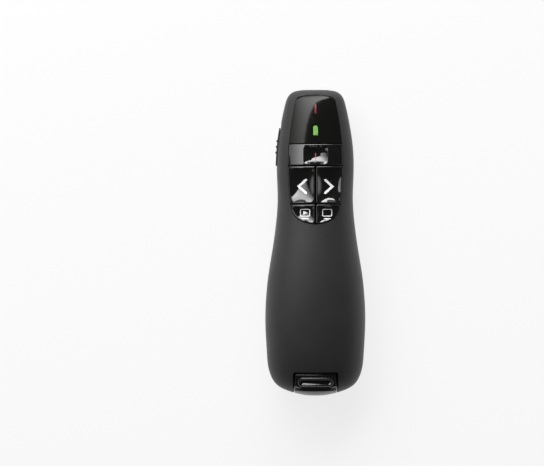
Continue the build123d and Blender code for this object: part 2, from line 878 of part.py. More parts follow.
lower_outline = key_outline(-body_length, arrow_line, 0, body_width)
with BuildPart() as blank_button:
    lower_dish_face = dish_outline(-body_length, arrow_line, lower_dish_corner)
    add(key_cap(lower_outline, lower_dish_face, lower_dish_depth, lower_switch))
blank_button.part.label = "blank_button"
with BuildPart() as slideshow_button:
    add(mirror(blank_button.part, about=Plane.YZ))
slideshow_button.part.label = "slideshow_button"

# ---------------------------------------------------------------- key switches and key frame
switch_places = {
    "laser": laser_switch,
    "forward": arrow_switch,
    "back": (-arrow_switch[0], arrow_switch[1]),
    "blank": lower_switch,
    "slideshow": (-lower_switch[0], lower_switch[1]),
}
with BuildPart() as key_switches:
    with BuildSketch(Plane.XY.offset(board_top)):
        with Locations(*switch_places.values()):
            RectangleRounded(switch_base, switch_base, 0.5)
    extrude(amount=switch_base_height)
    with BuildSketch(Plane.XY.offset(board_top + switch_base_height)):
        with Locations(*switch_places.values()):
            Circle(plunger_radius + plunger_clearance)
    extrude(amount=-(plunger_root + key_travel + plunger_clearance), mode=Mode.SUBTRACT)
key_switches.part.label = "key_switches"

plungers = []
for name, place in switch_places.items():
    foot = board_top + switch_base_height - plunger_root
    with BuildPart() as plunger:
        add(round_bar(plunger_radius, (*place, foot), (*place, plunger_top)))
        chamfer(plunger.edges().group_by(Axis.Z)[-1], 0.2)
    plunger.part.label = name + "_switch_plunger"
    plungers.append(plunger)

leg_places = [
    (leg_place[0], leg_place[1]),
    (-leg_place[0], leg_place[1]),
    leg_front_place,
    (-leg_front_place[0], leg_front_place[1]),
]
with BuildPart() as key_frame:
    with BuildSketch(Plane.XY.offset(frame_bottom)):
        with Locations((0, (frame_back + frame_front) / 2)):
            Rectangle(2 * frame_half_width, frame_front - frame_back)
        fillet(vertices(), 2.0)
        with Locations((0, (frame_back + frame_tongue_front) / 2)):
            Rectangle(2 * frame_tongue_half_width, frame_tongue_front - frame_back)
        with Locations(*switch_places.values()):
            Circle(post_radius + post_clearance, mode=Mode.SUBTRACT)
        with Locations((0, laser_light_y)):
            Rectangle(*laser_guide_size, mode=Mode.SUBTRACT)
        with Locations((0, battery_light_y)):
            Rectangle(*battery_guide_size, mode=Mode.SUBTRACT)
    extrude(amount=frame_thickness)
    for x, y in leg_places:
        side = math.copysign(1, x)
        add(
            block(
                (x - leg_thickness / 2, y - leg_width / 2, board_bottom - 2 * leg_barb),
                (x + leg_thickness / 2, y + leg_width / 2, frame_bottom),
            )
        )
        barb = side * (leg_thickness / 2 + leg_barb)
        add(
            block(
                (min(x, x + barb), y - leg_width / 2, board_bottom - 2 * leg_barb),
                (max(x, x + barb), y + leg_width / 2, board_bottom - 0.02),
            )
        )
key_frame.part.label = "key_frame"

# ---------------------------------------------------------------- circuit board and its parts
with BuildPart() as main_board:
    with BuildSketch(Plane.XY.offset(board_bottom)):
        Polygon(
            (-board_half_width, board_back),
            (board_half_width, board_back),
            (board_half_width, board_taper_start),
            (board_nose_half_width, board_front),
            (-board_nose_half_width, board_front),
            (-board_half_width, board_taper_start),
            align=None,
        )
        fillet(vertices(), 1.0)
        for side in (-1, 1):
            with Locations((side * screw_place[0], screw_place[1])):
                Circle(screw_radius + screw_hole_clearance, mode=Mode.SUBTRACT)
            with Locations((side * peg_place[0], peg_place[1])):
                Circle(peg_radius + peg_clearance, mode=Mode.SUBTRACT)
        with Locations(*leg_places):
            Rectangle(leg_thickness + 2 * leg_clearance, leg_width + 2 * leg_clearance, mode=Mode.SUBTRACT)
    extrude(amount=board_thickness)
main_board.part.label = "main_board"

chip_size = (7.0, 7.0, 1.0)
chip_place = (3.0, 24.0)
with BuildPart() as main_chip:
    with BuildSketch(Plane.XY.offset(board_bottom)):
        with Locations(chip_place):
            Rectangle(chip_size[0], chip_size[1])
    extrude(amount=-chip_size[2])
    chamfer(main_chip.edges().group_by(Axis.Z)[0], 0.2)
main_chip.part.label = "main_chip"

with BuildPart() as board_components:
    # Crystal, regulator and capacitors on the board's underside.
    with BuildSketch(Plane.XY.offset(board_bottom)):
        with Locations((-4.5, 25.0)):
            SlotOverall(6.0, 2.6)
        with Locations((4.0, 14.0)):
            Rectangle(3.0, 2.6)
        with GridLocations(2.6, 3.2, 3, 2):
            with Locations((-4.0, 14.5)):
                Rectangle(1.2, 2.0)
    extrude(amount=-0.9)
board_components.part.label = "board_components"

# ---------------------------------------------------------------- power switch
knob_back = knob_proud - knob_depth
with BuildPart() as power_switch_knob:
    # Plate that follows the side wall, with a bowed face, grip ribs and a stem.
    with BuildSketch(side_plane.offset(knob_back)):
        RectangleRounded(knob_length, knob_height, knob_corner)
    extrude(amount=knob_depth)
    bow = ((knob_length / 2) ** 2 + knob_bulge**2) / (2 * knob_bulge)
    centre = side_plane.from_local_coords(Vector(0, 0, knob_proud - bow))
    face = Solid.make_cylinder(bow, 4 * knob_height, Plane(centre - Vector(0, 0, 2 * knob_height)))
    add(face, mode=Mode.INTERSECT)
    with BuildSketch(side_plane.offset(knob_back)):
        with GridLocations(knob_rib_pitch, 0, knob_ribs, 1):
            SlotOverall(knob_height - 0.9, knob_rib_width, rotation=90)
    extrude(amount=knob_depth + knob_rib_proud)
    with BuildSketch(side_plane.offset(-stem_reach)):
        Rectangle(stem_length, stem_height)
        Rectangle(lever_length, lever_height, mode=Mode.SUBTRACT)
    extrude(amount=lever_root)
    with BuildSketch(side_plane.offset(lever_root - stem_reach)):
        Rectangle(stem_length, stem_height)
    extrude(amount=stem_reach - lever_root + knob_back)
power_switch_knob.part.label = "power_switch_knob"

with BuildPart() as slide_switch_lever:
    with BuildSketch(side_plane.offset(-slide_case_face - lever_root)):
        Rectangle(lever_length, lever_height)
    extrude(amount=slide_case_face + 2 * lever_root - stem_reach)
slide_switch_lever.part.label = "slide_switch_lever"

with BuildPart() as slide_switch_case:
    # The case hangs under the board, so its height is set from there.
    drop = board_bottom - seam_height(knob_y)
    with BuildSketch(side_plane.offset(-slide_case_face)):
        with Locations((knob_travel / 2, slide_case_height / 2 - drop)):
            Rectangle(slide_case_length, slide_case_height)
    extrude(amount=-slide_case_depth)
    with BuildSketch(side_plane.offset(-slide_case_face)):
        with Locations((knob_travel / 2, 0)):
            Rectangle(
                lever_length + knob_travel + 2 * knob_clearance,
                lever_height + 2 * knob_clearance,
            )
    extrude(amount=-(lever_root + knob_clearance), mode=Mode.SUBTRACT)
slide_switch_case.part.label = "slide_switch_case"

# ---------------------------------------------------------------- laser module
with BuildPart() as laser_barrel:
    lens_front = barrel_front - barrel_lip
    lens_back = lens_front - lens_thickness
    flange_front = barrel_back + diode_depth + diode_flange_thickness
    add(round_bar(barrel_radius, (0, barrel_back, laser_height), (0, barrel_front, laser_height)))
    add(
        round_bar(lens_opening, (0, barrel_back, laser_height), (0, barrel_front, laser_height)),
        mode=Mode.SUBTRACT,
    )
    add(
        round_bar(lens_radius, (0, lens_back - 2, laser_height), (0, lens_front, laser_height)),
        mode=Mode.SUBTRACT,
    )
    add(
        round_bar(diode_flange_radius, (0, barrel_back, laser_height), (0, flange_front, laser_height)),
        mode=Mode.SUBTRACT,
    )
laser_barrel.part.label = "laser_barrel"

with BuildPart() as laser_lens:
    add(round_bar(lens_radius, (0, lens_back, laser_height), (0, lens_front, laser_height)))
laser_lens.part.label = "laser_lens"

with BuildPart() as laser_diode:
    flange_back = barrel_back + diode_depth
    add(round_bar(diode_flange_radius, (0, flange_back, laser_height), (0, flange_front, laser_height)))
    add(
        round_bar(
            diode_radius,
            (0, flange_front, laser_height),
            (0, flange_front + diode_length, laser_height),
        )
    )
laser_diode.part.label = "laser_diode"

with BuildPart() as laser_driver_board:
    half = driver_size[0] / 2
    low = (-half, flange_back - driver_size[1], laser_height - driver_size[2] / 2)
    high = (half, flange_back, laser_height + driver_size[2] / 2)
    add(block(low, high))
laser_driver_board.part.label = "laser_driver_board"

with BuildPart() as laser_leads:
    lead_y = flange_back - driver_size[1] + 1.0
    for side in (-1, 1):
        x = side * lead_spread
        add(round_bar(lead_radius, (x, lead_y, high[2]), (x, lead_y, board_bottom)))
laser_leads.part.label = "laser_leads"

with BuildPart() as aperture_window:
    seat_back = nose_window_seat - nose_flange_thickness
    add(round_bar(nose_flange_radius, (0, seat_back, laser_height), (0, nose_window_seat, laser_height)))
    add(
        round_bar(
            nose_window_radius,
            (0, nose_window_seat, laser_height),
            (0, nose - nose_window_recess, laser_height),
        )
    )
aperture_window.part.label = "aperture_window"

# ---------------------------------------------------------------- indicator lights
light_under = housing_half(window_thickness + guide_gap, True, inner_stations, True)


def light_pair(y, guide_size):
    """Lamp on the board and the light guide over it, cut to the window's underside."""
    with BuildPart() as lamp:
        with BuildSketch(Plane.XY.offset(board_top)):
            with Locations((0, y)):
                Rectangle(led_size[0], led_size[1])
        extrude(amount=led_size[2])
    with BuildPart() as guide:
        with BuildSketch(Plane.XY.offset(board_top + led_size[2])):
            with Locations((0, y)):
                Rectangle(*guide_size)
        extrude(amount=body_height)
        add(light_under, mode=Mode.INTERSECT)
    return lamp.part, guide.part


laser_lamp, laser_guide = light_pair(laser_light_y, laser_guide_size)
battery_lamp, battery_guide = light_pair(battery_light_y, battery_guide_size)
laser_lamp.label = "laser_indicator_led"
laser_guide.label = "laser_light_guide"
battery_lamp.label = "battery_indicator_led"
battery_guide.label = "battery_light_guide"

# ---------------------------------------------------------------- screws
with BuildPart() as housing_screws:
    for side in (-1, 1):
        x = side * screw_place[0]
        y = screw_place[1]
        add(round_bar(screw_head_radius, (x, y, screw_seat - screw_head_height), (x, y, screw_seat)))
        add(round_bar(screw_radius, (x, y, screw_seat), (x, y, screw_seat + screw_length)))
housing_screws.part.label = "housing_screws"

# ---------------------------------------------------------------- batteries and contacts
right_tip = bay_front - contact_thickness - contact_dimple
left_tip = bay_back + contact_thickness + contact_dimple


def cell(x, tip, towards):
    """One cell with its positive end's nub at a place, pointing along the body."""
    shoulder = tip - towards * cell_nub_height
    foot = tip - towards * cell_length
    with BuildPart() as battery:
        add(round_bar(cell_radius, (x, foot, cell_height), (x, shoulder, cell_height)))
        add(round_bar(cell_nub_radius, (x, shoulder, cell_height), (x, tip, cell_height)))
    return battery.part


with BuildPart() as battery_right:
    add(cell(contact_place, right_tip, 1))
battery_right.part.label = "battery_right"
with BuildPart() as battery_left:
    add(cell(-contact_place, left_tip, -1))
battery_left.part.label = "battery_left"


def contact_plate(x, tab):
    """Front contact plate with a tab that passes through the bay's wall to the board."""
    half = contact_size / 2
    back = bay_front - contact_thickness
    top = board_bottom
    with BuildPart() as plate:
        add(block((x - half, back, cell_height - half), (x + half, bay_front, cell_height + half)))
        add(
            block(
                (x - tab / 2, back, top - contact_thickness),
                (x + tab / 2, bay_front + contact_tab_reach, top),
            )
        )
        add(block((x - tab / 2, back, cell_height), (x + tab / 2, bay_front, top)))
    return plate.part


def contact_spring(x, y, towards):
    """Conical spring between a contact plate and the flat end of a cell."""
    start = (x, y + towards * spring_wire, cell_height)
    height = spring_length - 2 * spring_wire
    direction = (0, towards, 0)
    path = Helix(height / spring_turns, height, spring_wide, start, direction, -spring_cone)
    with BuildPart() as spring:
        with BuildSketch(Plane(path @ 0, z_dir=path % 0)):
            RegularPolygon(spring_wire, 6)
        sweep(path=path, is_frenet=True)
    return spring.part


with BuildPart() as positive_contact:
    add(contact_plate(contact_place, contact_tab_width))
    plate_back = bay_front - contact_thickness
    add(
        round_bar(
            contact_dimple_radius,
            (contact_place, plate_back - contact_dimple, cell_height),
            (contact_place, plate_back, cell_height),
        )
    )
positive_contact.part.label = "positive_contact"

with BuildPart() as negative_contact:
    add(contact_plate(-contact_place, contact_tab_width))
negative_contact.part.label = "negative_contact"

with BuildPart() as bridge_contact:
    half = contact_place + contact_size / 2
    low = (-half, bay_back, cell_height - contact_size / 2)
    high = (half, bay_back + contact_thickness, cell_height + contact_size / 2)
    add(block(low, high))
    add(
        round_bar(
            contact_dimple_radius,
            (-contact_place, bay_back + contact_thickness, cell_height),
            (-contact_place, bay_back + contact_thickness + contact_dimple, cell_height),
        )
    )
bridge_contact.part.label = "bridge_contact"

with BuildPart() as negative_spring:
    add(contact_spring(-contact_place, bay_front - contact_thickness, -1))
negative_spring.part.label = "negative_spring"
with BuildPart() as bridge_spring:
    add(contact_spring(contact_place, bay_back + contact_thickness, 1))
bridge_spring.part.label = "bridge_spring"

# ---------------------------------------------------------------- receiver
cap_front = notch_front - notch_gap
cap_front_height = crown_at(cap_front) - cap_sink
with BuildPart() as cap_crown:
    # Everything under the cap's top, which is round about the body's length.
    with BuildSketch(Plane.YZ):
        with BuildLine():
            middle = ((cap_front + tail) / 2, cap_front_height - cap_ridge_drop / 2 + cap_crown_bow)
            rear = (tail, cap_front_height - cap_ridge_drop)
            ThreePointArc((cap_front, cap_front_height), middle, rear)
            Polyline(rear, (tail, 1), (cap_front, 1), (cap_front, cap_front_height))
        make_face()
    revolve(axis=Axis.Y)

with BuildPart() as receiver_cap:
    with BuildSketch(Plane.XY.offset(receiver_bottom)):
        with BuildLine():
            right = (receiver_half_width, tail + cap_rear_bow)
            left = (-receiver_half_width, tail + cap_rear_bow)
            ThreePointArc(left, (0, tail), right)
            Polyline(right, (receiver_half_width, cap_front), (-receiver_half_width, cap_front), left)
        make_face()
        fillet(vertices(), cap_corner)
    extrude(amount=body_height - receiver_bottom, taper=cap_draft)
    add(housing_half(-cap_proud, True, stations), mode=Mode.INTERSECT)
    add(cap_crown.part, mode=Mode.INTERSECT)
    ridge = receiver_cap.faces().sort_by(Axis.Z)[-1].edges().sort_by(Axis.Y)[0]
    fillet(ridge, cap_ridge_rounding)
    fillet(receiver_cap.faces().sort_by(Axis.Z)[-1].edges().sort_by(Axis.Y)[1:], cap_edge)

with BuildPart() as scoop:
    # Round-ended groove that follows the cap's top across the body.
    share = (scoop_y - cap_front) / (tail - cap_front)
    cap_top = cap_front_height - share * cap_ridge_drop + 4 * cap_crown_bow * share * (1 - share)
    scoop_height = cap_top - scoop_depth + scoop_radius
    lean = math.asin(scoop_reach / scoop_height)
    end_height = scoop_height * math.cos(lean)
    with BuildSketch(Plane((0, 0, 0), x_dir=(0, 1, 0), z_dir=(math.cos(lean), 0, math.sin(lean)))):
        with Locations((scoop_y, scoop_height)):
            Circle(scoop_radius)
    revolve(axis=Axis.Y, revolution_arc=2 * math.degrees(lean))
    with Locations((-scoop_reach, scoop_y, end_height), (scoop_reach, scoop_y, end_height)):
        Sphere(scoop_radius)

with BuildPart() as receiver_body:
    # Flat box in the dock that widens upward at the tail into a cap.
    with BuildSketch(Plane.XZ.offset(-receiver_shoulder)):
        with Locations((0, plug_height_middle)):
            RectangleRounded(2 * receiver_half_width, receiver_thickness, receiver_corner)
    extrude(amount=receiver_shoulder - tail + 1)
    add(upper_form, mode=Mode.INTERSECT)
    add(receiver_cap.part)
    add(
        block(
            (
                -receiver_half_width + receiver_wall,
                notch_front,
                receiver_bottom + receiver_wall,
            ),
            (
                receiver_half_width - receiver_wall,
                receiver_shoulder - receiver_wall,
                receiver_top - receiver_wall,
            ),
        ),
        mode=Mode.SUBTRACT,
    )
    with BuildSketch(Plane.XZ.offset(-receiver_shoulder - 1)):
        with Locations((0, plug_height_middle)):
            Rectangle(plug_width, plug_height)
    extrude(amount=plug_root + 1, mode=Mode.SUBTRACT)
    add(scoop.part, mode=Mode.SUBTRACT)

with BuildPart() as receiver_shell_upper:
    add(receiver_body.part)
    split(bisect_by=Plane.XY.offset(plug_height_middle), keep=Keep.TOP)
receiver_shell_upper.part.label = "receiver_shell_upper"

board_low = plug_height_middle - receiver_board_size[2] - 0.2
board_front_y = receiver_shoulder - plug_root
with BuildPart() as receiver_shell_lower:
    add(receiver_body.part)
    split(bisect_by=Plane.XY.offset(plug_height_middle), keep=Keep.BOTTOM)
    for share in (0.15, 0.85):
        y = board_front_y - share * receiver_board_size[1]
        half = receiver_half_width - receiver_wall / 2
        add(block((-half, y - 0.5, receiver_bottom + 0.1), (half, y + 0.5, board_low)))
receiver_shell_lower.part.label = "receiver_shell_lower"

with BuildPart() as receiver_board:
    half = receiver_board_size[0] / 2
    low = (-half, board_front_y - receiver_board_size[1], board_low)
    high = (half, board_front_y, board_low + receiver_board_size[2])
    add(block(low, high))
receiver_board.part.label = "receiver_board"

with BuildPart() as receiver_chip:
    with BuildSketch(Plane.XY.offset(high[2])):
        with Locations((0, board_front_y - receiver_board_size[1] / 2)):
            Rectangle(receiver_chip_size[0], receiver_chip_size[1])
    extrude(amount=receiver_chip_size[2])
    chamfer(receiver_chip.edges().group_by(Axis.Z)[-1], 0.2)
receiver_chip.part.label = "receiver_chip"

plug_back = receiver_shoulder - plug_root
with BuildPart() as usb_plug_shell:
    with BuildSketch(Plane.XZ.offset(-plug_back)):
        with Locations((0, plug_height_middle)):
            Rectangle(plug_width, plug_height)
            Rectangle(plug_width - 2 * plug_sheet, plug_height - 2 * plug_sheet, mode=Mode.SUBTRACT)
    extrude(amount=-(plug_root + plug_length))
usb_plug_shell.part.label = "usb_plug_shell"

tongue_bottom = plug_height_middle - plug_height / 2 + plug_sheet
tongue_top = tongue_bottom + tongue_thickness
tongue_front = receiver_shoulder + plug_length - tongue_inset
with BuildPart() as usb_tongue:
    half = plug_width / 2 - plug_sheet
    add(block((-half, plug_back, tongue_bottom), (half, tongue_front, tongue_top)))
usb_tongue.part.label = "usb_tongue"

with BuildPart() as usb_pads:
    with BuildSketch(Plane.XY.offset(tongue_top)):
        with Locations((0, tongue_front - 0.8 - usb_contact_size[1] / 2)):
            with GridLocations(usb_contact_pitch, 0, usb_contacts, 1):
                Rectangle(usb_contact_size[0], usb_contact_size[1])
    extrude(amount=usb_contact_size[2])
usb_pads.part.label = "usb_contacts"

# ---------------------------------------------------------------- files
builders = [
    top_cover,
    bottom_cover,
    battery_door,
    indicator_window,
    laser_button,
    back_button,
    forward_button,
    slideshow_button,
    blank_button,
    key_switches,
    *plungers,
    key_frame,
    main_board,
    main_chip,
    board_components,
    power_switch_knob,
    slide_switch_lever,
    slide_switch_case,
    laser_barrel,
    laser_lens,
    laser_diode,
    laser_driver_board,
    laser_leads,
    aperture_window,
    housing_screws,
    battery_left,
    battery_right,
    positive_contact,
    negative_contact,
    bridge_contact,
    negative_spring,
    bridge_spring,
    receiver_shell_upper,
    receiver_shell_lower,
    receiver_board,
    receiver_chip,
    usb_plug_shell,
    usb_tongue,
    usb_pads,
]
pieces = [builder.part for builder in builders]
pieces += [laser_lamp, laser_guide, battery_lamp, battery_guide]

os.makedirs("parts", exist_ok=True)
for piece in pieces:
    export_step(piece, "parts/" + piece.label + ".step")
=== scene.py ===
"""Presentation remote: finishes, printed symbols, small modelled pieces and a plain studio."""

import math

import bmesh
import bpy
from bpy.props import FloatProperty, FloatVectorProperty, PointerProperty
from mathutils import Matrix, Vector
from mathutils.bvhtree import BVHTree


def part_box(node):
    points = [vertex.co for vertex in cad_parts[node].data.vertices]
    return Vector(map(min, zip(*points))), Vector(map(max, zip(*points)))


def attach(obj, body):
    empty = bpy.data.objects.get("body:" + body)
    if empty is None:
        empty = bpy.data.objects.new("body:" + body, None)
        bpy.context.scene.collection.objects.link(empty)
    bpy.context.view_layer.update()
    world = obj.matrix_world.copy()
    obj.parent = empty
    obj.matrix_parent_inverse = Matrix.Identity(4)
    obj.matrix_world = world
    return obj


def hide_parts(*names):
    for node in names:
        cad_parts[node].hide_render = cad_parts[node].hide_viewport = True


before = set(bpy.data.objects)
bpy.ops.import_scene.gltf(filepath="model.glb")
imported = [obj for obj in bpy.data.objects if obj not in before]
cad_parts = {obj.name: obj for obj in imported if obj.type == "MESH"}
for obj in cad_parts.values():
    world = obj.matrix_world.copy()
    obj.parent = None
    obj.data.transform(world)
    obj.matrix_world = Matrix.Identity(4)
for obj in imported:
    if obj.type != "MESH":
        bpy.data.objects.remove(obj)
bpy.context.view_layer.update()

bl_info = {
    "name": "Presentation Remote",
    "version": (1, 0, 0),
    "blender": (4, 5, 0),
    "location": "3D View > Sidebar > Remote",
    "description": "Finishes a presentation remote and sets up its studio",
    "category": "Object",
}

MM = 0.001
MICRON = 0.000001


# ------------------------------------------------------------------ settings
def length(name, description, millimetres):
    """A length property, given in millimetres and kept in metres."""
    return FloatProperty(
        name=name,
        description=description,
        default=millimetres * MM,
        min=0.0,
        precision=5,
        subtype="DISTANCE",
        unit="LENGTH",
    )


def colour(name, description, value):
    """A linear colour property."""
    return FloatVectorProperty(
        name=name, description=description, default=value, min=0.0, max=1.0, size=3, subtype="COLOR"
    )


def factor(name, description, value):
    """A plain share between 0 and 1."""
    return FloatProperty(
        name=name, description=description, default=value, min=0.0, max=1.0, subtype="FACTOR"
    )


class RemoteFinishes(bpy.types.PropertyGroup):
    """Colours and gloss of what shows on the remote."""

    body_colour: colour("Body", "Colour of the soft-touch coating", (0.024, 0.0235, 0.024))
    body_roughness: factor("Body roughness", "Roughness of the soft-touch coating", 0.5)
    body_grain: length("Body grain", "Size of the coating's fine grain", 0.16)
    switch_colour: colour("Switch", "Colour of the power switch", (0.0192, 0.0188, 0.0192))
    switch_roughness: factor("Switch roughness", "Roughness of the power switch", 0.6)
    switch_grain: length("Switch grain", "Size of the power switch's fine grain", 0.112)
    key_colour: colour("Keys", "Colour of the polished keys", (0.006, 0.006, 0.0055))
    key_roughness: factor("Key roughness", "Roughness of the polished keys", 0.07)
    window_colour: colour("Window", "Colour of the smoked window", (0.007, 0.007, 0.006))
    window_roughness: factor("Window roughness", "Roughness of the smoked window", 0.13)
    receiver_colour: colour("Receiver", "Colour of the receiver's shell", (0.007, 0.007, 0.0065))
    receiver_roughness: factor("Receiver roughness", "Roughness of the receiver's shell", 0.09)
    print_colour: colour("Symbols", "Colour of the printed symbols", (0.98, 0.98, 0.98))
    laser_mark_colour: colour("Laser mark", "Colour of the laser key's line", (0.46, 0.13, 0.21))
    laser_light_colour: colour("Laser lamp", "Colour of the laser indicator", (0.23, 0.01, 0.02))
    laser_glow: factor("Laser glow", "Light that the laser indicator gives", 0.1)
    battery_light_colour: colour("Battery lamp", "Colour of the battery indicator", (0.19, 0.46, 0.10))
    battery_glow: factor("Battery glow", "Light that the battery indicator gives", 0.12)


class RemoteSymbols(bpy.types.PropertyGroup):
    """Sizes of the symbols printed on the keys."""

    arrow_stroke: length("Arrow stroke", "Width of the arrows' strokes", 0.86)
    arrow_y: length("Arrow place", "Distance of the arrows ahead of the body's middle", 21.15)
    arrow_tip: length("Arrow tip", "Distance of the arrows' tips from the centre line", 6.36)
    arrow_end: length("Arrow ends", "Distance of the arrows' ends from the centre line", 3.66)
    arrow_rise: length("Arrow rise", "Half the arrows' height", 2.42)
    screen_stroke: length("Screen stroke", "Width of the screens' outlines", 0.3)
    screen_width: length("Screen width", "Width of the screen symbols", 3.75)
    screen_height: length("Screen height", "Height of the screen symbols", 2.85)
    lift: length("Ink thickness", "Height of the print over the key", 0.02)


class RemoteStudio(bpy.types.PropertyGroup):
    """Softbox, floor and camera."""

    lens: FloatProperty(name="Lens", description="Focal length", default=250.0, min=50.0, unit="CAMERA")
    view_width: length("View width", "Width of the view at the body's middle height", 205.6)
    view_x: FloatProperty(
        name="View X", description="Middle of the view across", default=-0.01637, unit="LENGTH"
    )
    view_y: FloatProperty(
        name="View Y", description="Middle of the view along", default=0.00364, unit="LENGTH"
    )
    softbox_power: FloatProperty(
        name="Softbox", description="Power of the softbox", default=35.0, unit="POWER"
    )
    floor_colour: colour("Floor", "Colour of the floor", (0.93, 0.93, 0.93))
    floor_lift: factor("Floor lift", "Share of the floor that shows as plain white in any light", 0.8)


# ------------------------------------------------------------------ materials
NOISE_LOW = 0.3  # nearly all of a noise lies between these two values
NOISE_HIGH = 0.7


class Shader:
    """A material under construction: a Principled shader and helpers that feed it."""

    def __init__(self, name, base, roughness, **sockets):
        """Further sockets are named with _ for each space, as in Coat_Weight."""
        self.material = bpy.data.materials.new(name)
        self.material.use_nodes = True
        self.tree = self.material.node_tree
        self.bsdf = self.tree.nodes["Principled BSDF"]
        self.bsdf.inputs["Base Color"].default_value = (*base, 1.0)
        self.bsdf.inputs["Roughness"].default_value = roughness
        for socket, value in sockets.items():
            self.bsdf.inputs[socket.replace("_", " ")].default_value = value
        self.base = base
        self.roughness = roughness
        self.relief = None
        self.place = self.tree.nodes.new("ShaderNodeTexCoord").outputs["Object"]

    def link(self, start, end):
        """Joins an output to an input."""
        self.tree.links.new(start, end)

    def noise(self, size, detail=3.0, stretch=None):
        """Noise whose features are about size metres across."""
        node = self.tree.nodes.new("ShaderNodeTexNoise")
        node.inputs["Scale"].default_value = 1.0 / size
        node.inputs["Detail"].default_value = detail
        if stretch:
            mapping = self.tree.nodes.new("ShaderNodeMapping")
            mapping.inputs["Scale"].default_value = stretch
            self.link(self.place, mapping.inputs["Vector"])
            self.link(mapping.outputs["Vector"], node.inputs["Vector"])
        else:
            self.link(self.place, node.inputs["Vector"])
        return node.outputs["Fac"]

    def vary_colour(self, value, low, high):
        """Colour between low and high times the base, following a noise."""
        ramp = self.tree.nodes.new("ShaderNodeValToRGB")
        ramp.color_ramp.elements[0].position = NOISE_LOW
        ramp.color_ramp.elements[1].position = NOISE_HIGH
        for element, share in zip(ramp.color_ramp.elements, (low, high)):
            element.color = (*(min(1.0, share * c) for c in self.base), 1.0)
        self.link(value, ramp.inputs["Fac"])
        self.link(ramp.outputs["Color"], self.bsdf.inputs["Base Color"])

    def vary_roughness(self, value, spread):
        """Roughness that wanders by spread to each side, following a noise."""
        mapped = self.tree.nodes.new("ShaderNodeMapRange")
        mapped.inputs["From Min"].default_value = NOISE_LOW
        mapped.inputs["From Max"].default_value = NOISE_HIGH
        mapped.inputs["To Min"].default_value = max(0.0, self.roughness - spread)
        mapped.inputs["To Max"].default_value = min(1.0, self.roughness + spread)
        self.link(value, mapped.inputs["Value"])
        self.link(mapped.outputs["Result"], self.bsdf.inputs["Roughness"])

    def bump(self, value, height, strength):
        """Relief of that height in metres, added to any relief that is already there."""
        node = self.tree.nodes.new("ShaderNodeBump")
        node.inputs["Strength"].default_value = strength
        node.inputs["Distance"].default_value = height
        self.link(value, node.inputs["Height"])
        if self.relief:
            self.link(self.relief, node.inputs["Normal"])
        self.relief = node.outputs["Normal"]
        self.link(self.relief, self.bsdf.inputs["Normal"])


def soft_touch(name, base, roughness, grain):
    """Matte rubbery paint: fine grain, faint patches and a soft sheen at the rims."""
    shader = Shader(
        name, base, roughness, Specular_IOR_Level=0.42, Sheen_Weight=0.02, Sheen_Roughness=0.5
    )
    shader.vary_colour(shader.noise(11 * MM, detail=2.0), low=0.95, high=1.05)
    shader.vary_roughness(shader.noise(6 * MM, detail=4.0), spread=0.035)
    shader.bump(shader.noise(grain, detail=2.0), height=18 * MICRON, strength=0.5)
    shader.bump(shader.noise(4.5 * MM, detail=1.0), height=50 * MICRON, strength=0.12)
    return shader.material


def polished(name, base, roughness, ior=1.5, coat=1.0):
    """Polished dark plastic under a clear coat, with the faint waviness of moulding."""
    shader = Shader(
        name, base, roughness, IOR=ior, Coat_Weight=coat, Coat_Roughness=roughness * 0.5
    )
    shader.vary_roughness(shader.noise(0.9 * MM, detail=4.0), spread=roughness * 0.35)
    shader.bump(shader.noise(4 * MM, detail=1.0), height=12 * MICRON, strength=0.25)
    return shader.material


def moulded(name, base, roughness):
    """Plain moulded plastic with a fine spark-eroded grain."""
    shader = Shader(name, base, roughness)
    shader.vary_colour(shader.noise(4 * MM), low=0.9, high=1.1)
    shader.vary_roughness(shader.noise(1.2 * MM), spread=0.05)
    shader.bump(shader.noise(0.35 * MM, detail=2.0), height=10 * MICRON, strength=0.5)
    return shader.material


def metal(name, base, roughness, stretch=(1.0, 1.0, 1.0), anisotropic=0.0):
    """Plated or turned metal with fine drawn lines."""
    shader = Shader(name, base, roughness, Metallic=1.0, Anisotropic=anisotropic)
    lines = shader.noise(0.4 * MM, stretch=stretch)
    shader.vary_colour(shader.noise(2 * MM), low=0.88, high=1.04)
    shader.vary_roughness(lines, spread=0.08)
    shader.bump(lines, height=4 * MICRON, strength=0.4)
    return shader.material


def clear(name, base, roughness, transmission):
    """Clear or frosted moulded lens."""
    shader = Shader(name, base, roughness, IOR=1.49, Transmission_Weight=transmission)
    shader.vary_roughness(shader.noise(0.8 * MM), spread=0.03)
    shader.bump(shader.noise(2 * MM, detail=1.0), height=6 * MICRON, strength=0.2)
    return shader.material


def ink(name, base):
    """Screen-printed ink: almost flat, with a slightly uneven film."""
    shader = Shader(name, base, roughness=0.42, Specular_IOR_Level=0.3)
    shader.vary_colour(shader.noise(1.2 * MM), low=0.96, high=1.02)
    shader.bump(shader.noise(0.12 * MM, detail=2.0), height=6 * MICRON, strength=0.4)
    return shader.material


def lamp(name, base, glow):
    """Indicator or lamp that glows a little in its own colour."""
    light = {"Emission_Color": (*base, 1.0), "Emission_Strength": glow}
    shader = Shader(name, base, roughness=0.25, Coat_Weight=0.6, **light)
    shader.vary_colour(shader.noise(1.1 * MM, detail=2.0), low=0.8, high=1.15)
    return shader.material


